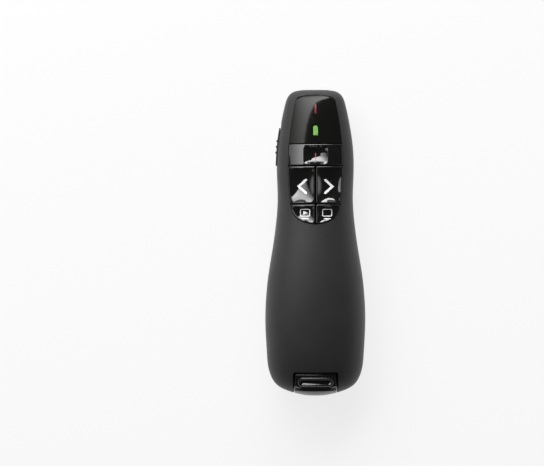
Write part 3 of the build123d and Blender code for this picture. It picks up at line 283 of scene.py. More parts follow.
def circuit_mask(name):
    """Green solder mask with faint tracks under it."""
    green = (0.012, 0.13, 0.055)
    shader = Shader(name, green, roughness=0.3, Coat_Weight=0.4, Coat_Roughness=0.15)
    tracks = shader.tree.nodes.new("ShaderNodeTexBrick")
    tracks.inputs["Scale"].default_value = 420.0
    tracks.inputs["Color1"].default_value = (*green, 1.0)
    tracks.inputs["Color2"].default_value = (0.014, 0.15, 0.062, 1.0)
    tracks.inputs["Mortar"].default_value = (0.03, 0.24, 0.10, 1.0)
    tracks.inputs["Mortar Size"].default_value = 0.035
    shader.link(shader.place, tracks.inputs["Vector"])
    shader.link(tracks.outputs["Color"], shader.bsdf.inputs["Base Color"])
    shader.bump(tracks.outputs["Fac"], height=30 * MICRON, strength=0.5)
    shader.vary_roughness(shader.noise(2 * MM), spread=0.06)
    return shader.material


def cell_wrap(name, plus, minus):
    """Printed film round a cell whose ends are at plus and minus along Y, with a copper plus band."""
    dark = (0.02, 0.022, 0.026)
    copper = (0.55, 0.20, 0.05)
    copper_share = 0.24
    shader = Shader(name, dark, roughness=0.3, Metallic=0.35, Coat_Weight=0.7, Coat_Roughness=0.12)
    parts = shader.tree.nodes.new("ShaderNodeSeparateXYZ")
    along = shader.tree.nodes.new("ShaderNodeMapRange")
    along.inputs["From Min"].default_value = plus
    along.inputs["From Max"].default_value = minus
    bands = shader.tree.nodes.new("ShaderNodeValToRGB")
    bands.color_ramp.interpolation = "CONSTANT"
    bands.color_ramp.elements[0].color = (*copper, 1.0)
    bands.color_ramp.elements[1].position = copper_share
    bands.color_ramp.elements[1].color = (*dark, 1.0)
    shader.link(shader.place, parts.inputs["Vector"])
    shader.link(parts.outputs["Y"], along.inputs["Value"])
    shader.link(along.outputs["Result"], bands.inputs["Fac"])
    shader.link(bands.outputs["Color"], shader.bsdf.inputs["Base Color"])
    shader.vary_roughness(shader.noise(3 * MM), spread=0.08)
    shader.bump(shader.noise(2.5 * MM, detail=2.0), height=10 * MICRON, strength=0.3)
    return shader.material


def dress(material, *nodes):
    """Gives CAD nodes one material."""
    for node in nodes:
        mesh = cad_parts[node].data
        mesh.materials.clear()
        mesh.materials.append(material)


# ------------------------------------------------------------------ outlines and meshes
OUTSIDE = 0.1  # rays start this far out, clear of the remote


def arc(centre, radius, start, end, steps):
    """Points on an arc, angles in degrees."""
    points = []
    for i in range(steps + 1):
        angle = math.radians(start + (end - start) * i / steps)
        points.append((centre[0] + radius * math.cos(angle), centre[1] + radius * math.sin(angle)))
    return points


def stroke(points, width, cap_steps=10):
    """Outline of a line through points, with a mitred corner and round ends."""
    half = width / 2
    path = [Vector(p) for p in points]
    steps = [(b - a).normalized() for a, b in zip(path, path[1:])]
    left = []
    right = []
    for i in range(1, len(path) - 1):
        normal = Vector((-steps[i - 1].y - steps[i].y, steps[i - 1].x + steps[i].x)).normalized()
        reach = half / normal.dot(Vector((-steps[i].y, steps[i].x)))
        left.append(path[i] + normal * reach)
        right.append(path[i] - normal * reach)
    first = math.degrees(math.atan2(steps[0].y, steps[0].x))
    last = math.degrees(math.atan2(steps[-1].y, steps[-1].x))
    start_cap = arc(path[0], half, first + 270, first + 90, cap_steps)
    end_cap = arc(path[-1], half, last + 90, last - 90, cap_steps)
    return [*start_cap, *[tuple(p) for p in left], *end_cap, *[tuple(p) for p in reversed(right)]]


def rounded(width, height, radius, centre, corner_steps=5):
    """Outline of a rounded rectangle."""
    x = width / 2 - radius
    y = height / 2 - radius
    points = []
    for corner, start in (((x, y), 0), ((-x, y), 90), ((-x, -y), 180), ((x, -y), 270)):
        middle = (centre[0] + corner[0], centre[1] + corner[1])
        points += arc(middle, radius, start, start + 90, corner_steps)
    return points


def cross(arm, half):
    """Outline of a cross, arm from its middle to each end and twice half wide."""
    quarter = [(arm, -half), (arm, half), (half, half)]
    points = []
    for turn in range(4):
        for x, y in quarter:
            for _ in range(turn):
                x, y = -y, x
            points.append((x, y))
    return points


def sides(loop):
    """Each point of a closed loop with the next one."""
    return zip(loop, loop[1:] + loop[:1])


def loft(bm, loops):
    """Joins closed loops of equal length, one after the other."""
    for low, high in zip(loops, loops[1:]):
        for i in range(len(low)):
            bm.faces.new((low[i - 1], low[i], high[i], high[i - 1]))


def thicken(bm, offset):
    """Makes a sheet a closed solid that reaches from it to a copy moved by offset."""
    extruded = bmesh.ops.extrude_face_region(bm, geom=bm.faces[:])["geom"]
    moved = [v for v in extruded if isinstance(v, bmesh.types.BMVert)]
    bmesh.ops.translate(bm, verts=moved, vec=offset)


def surface(node):
    """A CAD node's faces, ready for rays."""
    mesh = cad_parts[node].data
    return BVHTree.FromPolygons([v.co for v in mesh.vertices], [p.vertices for p in mesh.polygons])


def cast(tree, origin, direction, name):
    """Point and normal where a ray meets a surface, for the piece of that name."""
    hit, normal = tree.ray_cast(Vector(origin), Vector(direction))[:2]
    if hit is None:
        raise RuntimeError(f"{name} reaches past the surface that it lies on")
    return hit, normal


def make_piece(name, bm, material, body, crease=None):
    """Turns a bmesh into a piece that rides on a body, shaded smooth up to crease degrees, if given."""
    bmesh.ops.recalc_face_normals(bm, faces=bm.faces)
    for face in bm.faces:
        face.smooth = crease is not None
    mesh = bpy.data.meshes.new(name)
    bm.to_mesh(mesh)
    bm.free()
    if crease is not None:
        mesh.set_sharp_from_angle(angle=math.radians(crease))
    mesh.materials.append(material)
    piece = bpy.data.objects.new(name, mesh)
    bpy.context.scene.collection.objects.link(piece)
    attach(piece, body)
    return piece


# ------------------------------------------------------------------ door fillers
FILLER_INNER = 10.5 * MM  # the openings run from 10.7 to 12.4 mm off the middle, above 4.45 mm
FILLER_OUTER = 12.6 * MM
FILLER_LOW = 4.2 * MM
FILLER_HIGH = 7.33 * MM
FILLER_THICKNESS = 1.3 * MM
FILLER_INSET = 0.012 * MM  # how far it lies behind the wall's face, so that the two never coincide
FILLER_PROBE = 0.3 * MM  # how far beyond its ends the wall's slope is measured


def bridge(t, start, leave, end, arrive):
    """Curve from start to end as t goes from 0 to 1, with the given slopes at its ends."""
    near = (2 * t**3 - 3 * t**2 + 1) * start + (t**3 - 2 * t**2 + t) * leave
    far = (3 * t**2 - 2 * t**3) * end + (t**3 - t**2) * arrive
    return near + far


def door_filler(name, side, tree, material, columns=10, rows=22):
    """Block that closes one rail opening, with the rear wall's curve carried on across it."""

    def wall(distance, z):
        """Where the door's outer face lies, looked at from behind."""
        return cast(tree, (side * distance, -OUTSIDE, z), (0, 1, 0), name)[0].y

    span = FILLER_OUTER - FILLER_INNER
    bm = bmesh.new()
    lines = []
    for j in range(rows + 1):
        z = FILLER_LOW + (FILLER_HIGH - FILLER_LOW) * j / rows
        start = wall(FILLER_INNER, z)
        end = wall(FILLER_OUTER, z)
        leave = (start - wall(FILLER_INNER - FILLER_PROBE, z)) / FILLER_PROBE * span
        arrive = (wall(FILLER_OUTER + FILLER_PROBE, z) - end) / FILLER_PROBE * span
        line = []
        for i in range(columns + 1):
            t = i / columns
            y = bridge(t, start, leave, end, arrive) + FILLER_INSET
            line.append(bm.verts.new((side * (FILLER_INNER + span * t), y, z)))
        lines.append(line)
    for low, high in zip(lines, lines[1:]):
        for i in range(columns):
            bm.faces.new((low[i], low[i + 1], high[i + 1], high[i]))
    thicken(bm, (0, FILLER_THICKNESS, 0))
    return make_piece(name, bm, material, "battery_door", crease=40)


# ------------------------------------------------------------------ receiver's grip
GRIP_Y = -52.4 * MM  # middle of the finger scoop in the receiver's cap
GRIP_REACH = 4.95 * MM  # half the rim's straight runs
GRIP_RADIUS = 1.3 * MM
GRIP_HALF_WIDTH = 0.46 * MM
GRIP_HEIGHT = 0.32 * MM  # over the cap
GRIP_PROBE = 0.45 * MM  # how far outside the rim the cap's surface is measured


def grip_path(steps=24):
    """Round-ended loop round the scoop: each point with its outward direction."""
    path = []
    for end, first in ((1, -90), (-1, 90)):
        for x, y in arc((0, 0), 1.0, first, first + 180, steps):
            path.append((end * GRIP_REACH + x * GRIP_RADIUS, GRIP_Y + y * GRIP_RADIUS, (x, y)))
        for i in range(1, steps):
            x = end * GRIP_REACH * (1 - 2 * i / steps)
            path.append((x, GRIP_Y + end * GRIP_RADIUS, (0, end)))
    return path


def grip_rim(name, material, segments=12):
    """Raised rim round the scoop, swept along a loop that lies on the cap."""
    tree = surface("receiver_shell_upper")
    bm = bmesh.new()
    loops = []
    for x, y, side in grip_path():
        above = (x + side[0] * GRIP_PROBE, y + side[1] * GRIP_PROBE, OUTSIDE)
        hit, normal = cast(tree, above, (0, 0, -1), name)
        outward = Vector((*side, 0.0))
        outward = (outward - normal * outward.dot(normal)).normalized()
        centre = hit - outward * (GRIP_PROBE / outward.xy.length)
        loop = []
        for step in range(segments):
            angle = math.tau * step / segments
            across = outward * (GRIP_HALF_WIDTH * math.cos(angle))
            up = normal * (GRIP_HEIGHT * math.sin(angle))
            loop.append(bm.verts.new(centre + (across + up)))
        loops.append(loop)
    loft(bm, [*loops, loops[0]])
    return make_piece(name, bm, material, "receiver", crease=60)


# ------------------------------------------------------------------ screws
SCREW_X = (-9.0 * MM, 9.0 * MM)  # one on each side
SCREW_Y = 4.5 * MM
SCREW_SEAT = 8.2 * MM  # height of the head's seat; the drive side is below it
SCREW_LENGTH = 11.6 * MM
HEAD_RADIUS = 1.9 * MM
HEAD_HEIGHT = 1.4 * MM
HEAD_BEVEL = 0.1 * MM
HEAD_SIDE = 0.75 * MM  # height over the drive face where the crown begins
HEAD_CROWN = ((0.985, 0.45), (0.93, 0.22), (0.84, 0.07), (0.74, 0.0))  # share of radius, height in mm
HEAD_RECESS = ((1.0, 0.24, 0.0), (0.94, 0.2, 0.14), (0.42, 0.16, 0.85))  # arm, half width, depth in mm
THREAD_CREST = 1.0 * MM
THREAD_ROOT = 0.76 * MM
THREAD_PITCH = 0.9 * MM
THREAD_HALF = 0.3  # half the thread's foot, as a share of the pitch
TIP_LENGTH = 1.6 * MM
TIP_SHARE = 0.25  # of the radius, left at the very end


def screw_head(bm, x, segments=48):
    """Pan head with a tapered cross recess; the drive side faces down."""
    base = SCREW_SEAT - HEAD_HEIGHT

    def loop(outline, height):
        """Points of an outline, at a height over the drive face."""
        return [bm.verts.new((px, py, base + height)) for px, py in outline]

    profile = [(THREAD_ROOT, HEAD_HEIGHT), (HEAD_RADIUS - HEAD_BEVEL, HEAD_HEIGHT)]
    profile += [(HEAD_RADIUS, HEAD_HEIGHT - HEAD_BEVEL), (HEAD_RADIUS, HEAD_SIDE)]
    profile += [(HEAD_RADIUS * share, height * MM) for share, height in HEAD_CROWN]
    rings = []
    for radius, height in profile:
        rings.append(loop(arc((x, SCREW_Y), radius, 0, 360, segments)[:-1], height))
    loft(bm, rings)
    recess = []
    for arm, half, depth in HEAD_RECESS:
        outline = [(x + px, SCREW_Y + py) for px, py in cross(arm * MM, half * MM)]
        recess.append(loop(outline, depth * MM))
    loft(bm, recess)
    bm.faces.new(recess[-1])
    rims = [bm.edges.get(pair) for rim in (rings[-1], recess[0]) for pair in sides(rim)]
    bmesh.ops.triangle_fill(bm, use_beauty=True, edges=rims)


def screw_thread(bm, x, segments=24, levels_per_turn=6):
    """Threaded shank that tapers to a blunt point."""
    levels = round(SCREW_LENGTH / THREAD_PITCH * levels_per_turn)
    loops = []
    for level in range(levels + 1):
        up = SCREW_LENGTH * level / levels
        turns = up / THREAD_PITCH
        taper = min(1.0, TIP_SHARE + (1 - TIP_SHARE) * (SCREW_LENGTH - up) / TIP_LENGTH)
        run_in = min(1.0, turns)
        loop = []
        for i in range(segments):
            phase = (turns - i / segments) % 1.0
            rise = max(0.0, 1 - abs(phase - 0.5) / THREAD_HALF) * run_in
            radius = (THREAD_ROOT + (THREAD_CREST - THREAD_ROOT) * rise) * taper
            angle = math.tau * i / segments
            across = x + radius * math.cos(angle)
            along = SCREW_Y + radius * math.sin(angle)
            loop.append(bm.verts.new((across, along, SCREW_SEAT + up)))
        loops.append(loop)
    loft(bm, loops)
    bm.faces.new(loops[0])
    bm.faces.new(loops[-1])


# ------------------------------------------------------------------ printed symbols
FILM_DEPTH = 0.08 * MM  # how far a film reaches down, into what carries it
FILM_GRID = 0.25 * MM  # spacing of the cuts that let a film bend
LAMP_LIFT = 0.012 * MM  # height of the indicators over the window
WELD = 1e-7  # a cut this close to a point goes through it

SCREEN_Y = 11.25 * MM
SCREEN_X = {"slideshow": -3.95 * MM, "blank": 4.35 * MM}
SCREEN_CORNER = 0.55 * MM
SCREEN_INNER_CORNER = 0.25 * MM
BASE_HALF = 1.15 * MM  # half the line under a screen
BASE_DROP = 0.75 * MM  # from the screen's lower edge down to that line
PLAY_HALF = 0.72 * MM
PLAY_BACK = 0.75 * MM  # from the screen's middle to the play sign's back edge
PLAY_TIP = 0.95 * MM
LASER_LINE = ((0.0, 33.6 * MM), (0.0, 31.5 * MM))
LASER_LINE_WIDTH = 0.34 * MM
LASER_BAR_CENTRE = (0.0, 50.45 * MM)
LASER_BAR_WIDTH = 0.62 * MM
LASER_BAR_LENGTH = 3.5 * MM
LASER_BAR_CORNER = 0.15 * MM
BATTERY_SIDE = ((0.88, 40.4), (0.88, 43.5), (0.6, 43.62), (0.5, 44.05))  # right half, from below, in mm


def fill(bm, outlines):
    """Flat faces inside an outline, less what a second one encloses."""
    for outline in outlines:
        verts = [bm.verts.new((x, y, 0.0)) for x, y in outline]
        for pair in sides(verts):
            bm.edges.new(pair)
    bmesh.ops.triangle_fill(bm, use_beauty=True, edges=bm.edges[:])


def cut_grid(bm, spacing):
    """Cuts flat faces along a grid, so that they can follow a curved surface."""
    for axis in (0, 1):
        values = [v.co[axis] for v in bm.verts]
        line = math.ceil(min(values) / spacing) * spacing
        while line < max(values):
            point = Vector((0, 0, 0))
            normal = Vector((0, 0, 0))
            point[axis] = line
            normal[axis] = 1
            everything = bm.verts[:] + bm.edges[:] + bm.faces[:]
            bmesh.ops.bisect_plane(bm, geom=everything, dist=WELD, plane_co=point, plane_no=normal)
            line += spacing


def print_film(name, outlines, material, node, body, lift):
    """A thin film with the given outlines that follows the top of a CAD node."""
    bm = bmesh.new()
    fill(bm, outlines)
    cut_grid(bm, FILM_GRID)
    tree = surface(node)
    for vert in bm.verts:
        hit = cast(tree, (vert.co.x, vert.co.y, OUTSIDE), (0, 0, -1), name)[0]
        vert.co.z = hit.z + lift
    thicken(bm, (0, 0, -FILM_DEPTH))
    return make_piece(name, bm, material, body)


def print_on_key(name, outlines, material, key, lift):
    """A symbol on one of the keys."""
    return print_film(name, outlines, material, f"{key}_button", f"{key}_key", lift)


def print_on_window(name, outlines, material):
    """An indicator shape on the smoked window."""
    node, body, slot = "indicator_window", "housing", "smoked_window"
    return print_film(name, outlines, material, node, body, LAMP_LIFT)


def arrow(look, side):
    """Outline of an open arrow head that points to one side."""
    points = [
        (side * look.arrow_end, look.arrow_y + look.arrow_rise),
        (side * look.arrow_tip, look.arrow_y),
        (side * look.arrow_end, look.arrow_y - look.arrow_rise),
    ]
    return stroke(points, look.arrow_stroke)


def screen_frame(look, x):
    """Outer and inner outline of a screen symbol."""
    both_sides = 2 * look.screen_stroke
    inner_width = look.screen_width - both_sides
    inner_height = look.screen_height - both_sides
    outer = rounded(look.screen_width, look.screen_height, SCREEN_CORNER, (x, SCREEN_Y))
    inner = rounded(inner_width, inner_height, SCREEN_INNER_CORNER, (x, SCREEN_Y))
    return [outer, inner]


def screen_base(look, x):
    """Outline of the short line under a screen symbol."""
    y = SCREEN_Y - look.screen_height / 2 - BASE_DROP
    return stroke([(x - BASE_HALF, y), (x + BASE_HALF, y)], look.screen_stroke)


def play_sign(x):
    """Triangle that points to the right."""
    back = x - PLAY_BACK
    return [(back, SCREEN_Y + PLAY_HALF), (back, SCREEN_Y - PLAY_HALF), (x + PLAY_TIP, SCREEN_Y)]


def battery_sign():
    """Outline of an upright cell with its pip."""
    right = [(x * MM, y * MM) for x, y in BATTERY_SIDE]
    return [*right, *[(-x, y) for x, y in reversed(right)]]


# ------------------------------------------------------------------ studio
FLOOR_HALF = 6.0
SOFTBOX_LENGTH = 2.6
SOFTBOX_WIDTH = 0.8
SOFTBOX_EDGE = Vector((0.582, 0.813, 0.0))  # direction of its long edges
SOFTBOX_LEAN = math.radians(25)  # how far its face drops away from level
SOFTBOX_HOME = Vector((0.0, 0.035, 0.75))  # over the keys
SOFTBOX_REACH = 0.35  # from there across to its near long edge
SOFTBOX_SHIFT = 0.95  # from there along that edge to its middle
SOFTBOX_FADES = (  # axis of the face, where the fade starts and ends, strength at start and end
    ("Y", 0.0, 1.0, 1.3, 0.7),
    ("X", 0.0, 0.4, 0.2, 1.25),
)
WHITE_BELOW = 0.1  # the world is white up to this height of a direction of length 1
DIM_ABOVE = 0.35  # and dim from this one
OVERHEAD_COLOUR = (0.04, 0.04, 0.041, 1.0)
SENSOR_WIDTH = 36.0  # in mm
MIDDLE_HEIGHT = 13 * MM  # height at which the view is view_width across
VIEW_DEPTH = 20.0  # how far the camera sees


def whiten(shader, share):
    """Lets a card show partly as plain white, with the object's shadow kept in the rest."""
    path = shader.tree.nodes.new("ShaderNodeLightPath")
    seen = path.outputs["Is Camera Ray"]
    for ray in ("Is Glossy Ray", "Is Transmission Ray"):
        either = shader.tree.nodes.new("ShaderNodeMath")
        either.operation = "MAXIMUM"
        shader.link(seen, either.inputs[0])
        shader.link(path.outputs[ray], either.inputs[1])
        seen = either.outputs[0]
    amount = shader.tree.nodes.new("ShaderNodeMath")
    amount.operation = "MULTIPLY"
    amount.inputs[1].default_value = share
    shader.link(seen, amount.inputs[0])
    white = shader.tree.nodes.new("ShaderNodeEmission")
    mix = shader.tree.nodes.new("ShaderNodeMixShader")
    shader.link(amount.outputs[0], mix.inputs["Fac"])
    shader.link(shader.bsdf.outputs["BSDF"], mix.inputs[1])
    shader.link(white.outputs["Emission"], mix.inputs[2])
    shader.link(mix.outputs["Shader"], shader.tree.nodes["Material Output"].inputs["Surface"])


def lay_floor(scene, studio):
    """Wide pale card that the remote lies on."""
    shader = Shader("floor_card", studio.floor_colour, roughness=0.9, Specular_IOR_Level=0.1)
    shader.vary_colour(shader.noise(300 * MM, detail=2.0), low=0.995, high=1.005)
    shader.bump(shader.noise(1.5 * MM), height=20 * MICRON, strength=0.3)
    whiten(shader, studio.floor_lift)
    half = FLOOR_HALF
    mesh = bpy.data.meshes.new("floor")
    corners = [(-half, -half, 0), (half, -half, 0), (half, half, 0), (-half, half, 0)]
    mesh.from_pydata(corners, [], [(0, 1, 2, 3)])
    mesh.materials.append(shader.material)
    floor = bpy.data.objects.new("floor", mesh)
    scene.collection.objects.link(floor)


def light_world(scene):
    """World that is white near the horizon and dim overhead."""
    world = bpy.data.worlds.new("studio_world")
    world.use_nodes = True
    tree = world.node_tree
    place = tree.nodes.new("ShaderNodeTexCoord")
    parts = tree.nodes.new("ShaderNodeSeparateXYZ")
    ramp = tree.nodes.new("ShaderNodeValToRGB")
    ramp.color_ramp.elements[0].position = WHITE_BELOW
    ramp.color_ramp.elements[0].color = (1.0, 1.0, 1.0, 1.0)
    ramp.color_ramp.elements[1].position = DIM_ABOVE
    ramp.color_ramp.elements[1].color = OVERHEAD_COLOUR
    tree.links.new(place.outputs["Generated"], parts.inputs["Vector"])
    tree.links.new(parts.outputs["Z"], ramp.inputs["Fac"])
    tree.links.new(ramp.outputs["Color"], tree.nodes["Background"].inputs["Color"])
    scene.world = world


def fade_lamp(data):
    """Makes the softbox's face dim towards its far long edge and towards its tail end."""
    data.use_nodes = True
    tree = data.node_tree
    place = tree.nodes.new("ShaderNodeNewGeometry")
    parts = tree.nodes.new("ShaderNodeSeparateXYZ")
    product = tree.nodes.new("ShaderNodeMath")
    product.operation = "MULTIPLY"
    tree.links.new(place.outputs["Parametric"], parts.inputs["Vector"])
    for term, (axis, *values) in zip(product.inputs, SOFTBOX_FADES):
        fade = tree.nodes.new("ShaderNodeMapRange")
        fade.interpolation_type = "SMOOTHSTEP"
        for socket, value in zip(("From Min", "From Max", "To Min", "To Max"), values):
            fade.inputs[socket].default_value = value
        tree.links.new(parts.outputs[axis], fade.inputs["Value"])
        tree.links.new(fade.outputs["Result"], term)
    tree.links.new(product.outputs[0], tree.nodes["Emission"].inputs["Strength"])


def hang_softbox(scene, studio):
    """Long softbox over the left side, which leans down and away from the remote."""
    edge = SOFTBOX_EDGE
    outward = Vector((-edge.y, edge.x, 0.0))
    across = outward * math.cos(SOFTBOX_LEAN) - Vector((0, 0, 1)) * math.sin(SOFTBOX_LEAN)
    near = outward * SOFTBOX_REACH + SOFTBOX_HOME
    middle = near + across * SOFTBOX_WIDTH / 2 + edge * SOFTBOX_SHIFT
    back = edge.cross(across)
    axes = Matrix((edge, back.cross(edge), back)).transposed()
    data = bpy.data.lights.new("main_softbox", "AREA")
    data.shape = "RECTANGLE"
    data.size = SOFTBOX_LENGTH
    data.size_y = SOFTBOX_WIDTH
    data.energy = studio.softbox_power
    fade_lamp(data)
    softbox = bpy.data.objects.new("main_softbox", data)
    softbox.matrix_world = Matrix.Translation(middle) @ axes.to_4x4()
    scene.collection.objects.link(softbox)


def set_camera(scene, studio):
    """Camera that looks straight down."""
    data = bpy.data.cameras.new("camera")
    data.lens = studio.lens
    data.sensor_width = SENSOR_WIDTH
    data.clip_end = VIEW_DEPTH
    distance = studio.view_width * studio.lens / SENSOR_WIDTH
    camera = bpy.data.objects.new("camera", data)
    camera.location = (studio.view_x, studio.view_y, MIDDLE_HEIGHT + distance)
    scene.collection.objects.link(camera)
    scene.camera = camera


# ------------------------------------------------------------------ operators
class REMOTE_OT_housing(bpy.types.Operator):
    """Coat the covers, the door and the power switch, and finish the receiver's shells and grip"""

    bl_idname = "remote.housing"
    bl_label = "Finish housing"

    def execute(self, context):
        look = context.scene.remote_finishes
        coating = soft_touch("soft_touch", look.body_colour, look.body_roughness, look.body_grain)
        dress(coating, "top_cover", "bottom_cover", "battery_door")
        shell = polished("receiver_shell", look.receiver_colour, look.receiver_roughness)
        dress(shell, "receiver_shell_upper", "receiver_shell_lower")
        grip_rim("receiver_grip_rim", shell)
        knob = soft_touch("switch_grip", look.switch_colour, look.switch_roughness, look.switch_grain)
        dress(knob, "power_switch_knob")
        return {"FINISHED"}


class REMOTE_OT_door(bpy.types.Operator):
    """Close the two rail openings in the battery door's rear wall"""

    bl_idname = "remote.door"
    bl_label = "Close door openings"

    def execute(self, context):
        tree = surface("battery_door")
        coating = bpy.data.materials["soft_touch"]
        door_filler("door_filler_left", -1, tree, coating)
        door_filler("door_filler_right", 1, tree, coating)
        return {"FINISHED"}


class REMOTE_OT_island(bpy.types.Operator):
    """Polish the window and the five keys"""

    bl_idname = "remote.island"
    bl_label = "Finish window and keys"

    def execute(self, context):
        look = context.scene.remote_finishes
        keys = polished("polished_key", look.key_colour, look.key_roughness, ior=1.57)
        dress(keys, "laser_button", "back_button", "forward_button", "slideshow_button", "blank_button")
        smoked = polished("smoked_window", look.window_colour, look.window_roughness, ior=1.34, coat=0.0)
        dress(smoked, "indicator_window")
        return {"FINISHED"}


class REMOTE_OT_works(bpy.types.Operator):
    """Finish what is inside: board, switches, laser, contacts, cells and receiver"""

    bl_idname = "remote.works"
    bl_label = "Finish inner parts"

    def execute(self, context):
        self.plastics()
        self.metals()
        self.cells()
        self.lights()
        return {"FINISHED"}

    def plastics(self):
        """Boards, chips, switch parts and the plug's tongue."""
        dress(circuit_mask("solder_mask"), "main_board", "laser_driver_board", "receiver_board")
        dress(moulded("inner_plastic", (0.05, 0.05, 0.052), 0.5), "key_frame", "slide_switch_lever")
        dress(moulded("usb_tongue", (0.82, 0.82, 0.8), 0.4), "usb_tongue")
        dress(moulded("switch_body", (0.02, 0.02, 0.021), 0.4), "key_switches")
        dress(moulded("moulded_epoxy", (0.018, 0.018, 0.019), 0.55), "main_chip", "receiver_chip")
        keys = ("laser", "back", "forward", "slideshow", "blank")
        plungers = [f"{key}_switch_plunger" for key in keys]
        dress(moulded("switch_plunger", (0.5, 0.47, 0.4), 0.45), *plungers)

    def metals(self):
        """Cans, barrel, leads, contacts, springs and the plug's shell."""
        dress(metal("plated_can", (0.62, 0.62, 0.63), 0.32), "board_components", "slide_switch_case")
        brass = metal("turned_brass", (0.76, 0.56, 0.24), 0.28, stretch=(1, 8, 1))
        dress(brass, "laser_barrel", "laser_diode")
        dress(metal("tinned_wire", (0.72, 0.44, 0.28), 0.35), "laser_leads")
        dress(metal("gold_pads", (0.86, 0.66, 0.27), 0.22), "usb_contacts")
        nickel = metal("nickel_plate", (0.70, 0.68, 0.63), 0.26, stretch=(1, 1, 6))
        dress(nickel, "positive_contact", "negative_contact", "bridge_contact")
        dress(nickel, "negative_spring", "bridge_spring")
        steel = metal("plug_steel", (0.66, 0.66, 0.67), 0.24, stretch=(1, 0.08, 1), anisotropic=0.4)
        dress(steel, "usb_plug_shell")

    def cells(self):
        """The left cell's plus end is to the rear, and the right cell's to the front."""
        rear, front = (corner[1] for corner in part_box("battery_left"))
        dress(cell_wrap("battery_left_wrap", plus=rear, minus=front), "battery_left")
        rear, front = (corner[1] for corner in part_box("battery_right"))
        dress(cell_wrap("battery_right_wrap", plus=front, minus=rear), "battery_right")

    def lights(self):
        """Lenses, light guides and the two lamps under them."""
        dress(clear("clear_lens", (0.92, 0.94, 0.95), 0.03, 0.95), "laser_lens", "aperture_window")
        frosted = clear("frosted_guide", (0.9, 0.93, 0.9), 0.35, 0.8)
        dress(frosted, "laser_light_guide", "battery_light_guide")
        dress(lamp("red_lamp", (0.5, 0.02, 0.03), glow=0.2), "laser_indicator_led")
        dress(lamp("green_lamp", (0.1, 0.5, 0.1), glow=0.2), "battery_indicator_led")


class REMOTE_OT_screws(bpy.types.Operator):
    """Replace the two housing screws with cross-head ones"""

    bl_idname = "remote.screws"
    bl_label = "Make screws"

    def execute(self, context):
        bm = bmesh.new()
        for x in SCREW_X:
            screw_head(bm, x)
            screw_thread(bm, x)
        zinc = metal("screw_zinc", (0.58, 0.58, 0.6), 0.3)
        piece = make_piece("cross_head_screws", bm, zinc, "housing", crease=30)
        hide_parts("housing_screws")
        return {"FINISHED"}


class REMOTE_OT_arrows(bpy.types.Operator):
    """Print the back and forward arrows"""

    bl_idname = "remote.arrows"
    bl_label = "Print arrows"

    def execute(self, context):
        look = context.scene.remote_symbols
        white = ink("white_print", context.scene.remote_finishes.print_colour)
        print_on_key("back_arrow", [arrow(look, -1)], white, "back", look.lift)
        print_on_key("forward_arrow", [arrow(look, 1)], white, "forward", look.lift)
        return {"FINISHED"}


class REMOTE_OT_screens(bpy.types.Operator):
    """Print the play screen and the blank screen"""

    bl_idname = "remote.screens"
    bl_label = "Print screens"

    def execute(self, context):
        look = context.scene.remote_symbols
        white = bpy.data.materials["white_print"]
        for key, x in SCREEN_X.items():
            shapes = {"screen": screen_frame(look, x), "base": [screen_base(look, x)]}
            if key == "slideshow":
                shapes["play"] = [play_sign(x)]
            for shape, outlines in shapes.items():
                print_on_key(f"{key}_{shape}", outlines, white, key, look.lift)
        return {"FINISHED"}


class REMOTE_OT_marks(bpy.types.Operator):
    """Add the laser key's line and the window's two indicators"""

    bl_idname = "remote.marks"
    bl_label = "Add indicator marks"

    def execute(self, context):
        look = context.scene.remote_finishes
        red = ink("laser_mark", look.laser_mark_colour)
        line = stroke(LASER_LINE, LASER_LINE_WIDTH)
        print_on_key("laser_line", [line], red, "laser", context.scene.remote_symbols.lift)
        bar = rounded(LASER_BAR_WIDTH, LASER_BAR_LENGTH, LASER_BAR_CORNER, LASER_BAR_CENTRE)
        red_lamp = lamp("laser_lamp", look.laser_light_colour, look.laser_glow)
        print_on_window("laser_indicator", [bar], red_lamp)
        green_lamp = lamp("battery_lamp", look.battery_light_colour, look.battery_glow)
        print_on_window("battery_indicator", [battery_sign()], green_lamp)
        return {"FINISHED"}


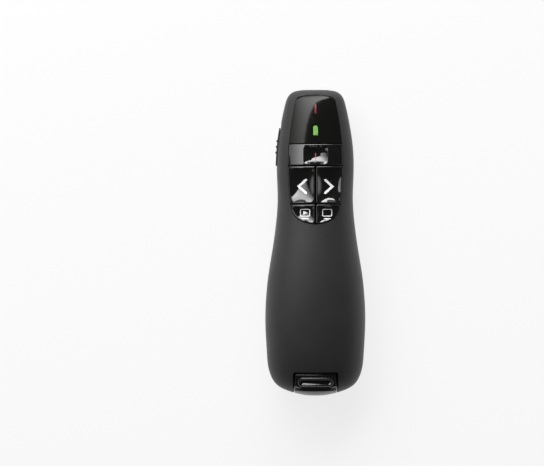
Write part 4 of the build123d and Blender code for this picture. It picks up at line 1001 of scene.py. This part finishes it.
class REMOTE_OT_studio(bpy.types.Operator):
    """Set up the floor, the softbox, the world and the camera"""

    bl_idname = "remote.studio"
    bl_label = "Set up studio"

    def execute(self, context):
        scene = context.scene
        studio = scene.remote_studio
        scene.view_settings.view_transform = "Standard"
        lay_floor(scene, studio)
        light_world(scene)
        hang_softbox(scene, studio)
        set_camera(scene, studio)
        return {"FINISHED"}


class REMOTE_PT_panel(bpy.types.Panel):
    """Everything that builds the remote's looks"""

    bl_label = "Presentation Remote"
    bl_idname = "REMOTE_PT_panel"
    bl_space_type = "VIEW_3D"
    bl_region_type = "UI"
    bl_category = "Remote"

    def draw(self, context):
        for operator in OPERATORS:
            self.layout.operator(operator.bl_idname)
        for group in GROUPS:
            settings = getattr(context.scene, group)
            box = self.layout.box()
            for name in settings.bl_rna.properties.keys():
                if name not in {"name", "rna_type"}:
                    box.prop(settings, name)


GROUPS = {
    "remote_finishes": RemoteFinishes,
    "remote_symbols": RemoteSymbols,
    "remote_studio": RemoteStudio,
}
OPERATORS = (
    REMOTE_OT_housing,
    REMOTE_OT_door,
    REMOTE_OT_island,
    REMOTE_OT_works,
    REMOTE_OT_screws,
    REMOTE_OT_arrows,
    REMOTE_OT_screens,
    REMOTE_OT_marks,
    REMOTE_OT_studio,
)


def register():
    """Adds the settings, the operators and the panel."""
    for name, group in GROUPS.items():
        bpy.utils.register_class(group)
        setattr(bpy.types.Scene, name, PointerProperty(type=group))
    for cls in (*OPERATORS, REMOTE_PT_panel):
        bpy.utils.register_class(cls)


def unregister():
    """Takes the settings, the operators and the panel away again."""
    for cls in reversed((*OPERATORS, REMOTE_PT_panel)):
        bpy.utils.unregister_class(cls)
    for name, group in GROUPS.items():
        delattr(bpy.types.Scene, name)
        bpy.utils.unregister_class(group)


def main():
    """Builds everything."""
    register()
    bpy.ops.remote.housing()
    bpy.ops.remote.door()
    bpy.ops.remote.island()
    bpy.ops.remote.works()
    bpy.ops.remote.screws()
    bpy.ops.remote.arrows()
    bpy.ops.remote.screens()
    bpy.ops.remote.marks()
    bpy.ops.remote.studio()


if __name__ == "__main__":
    main()
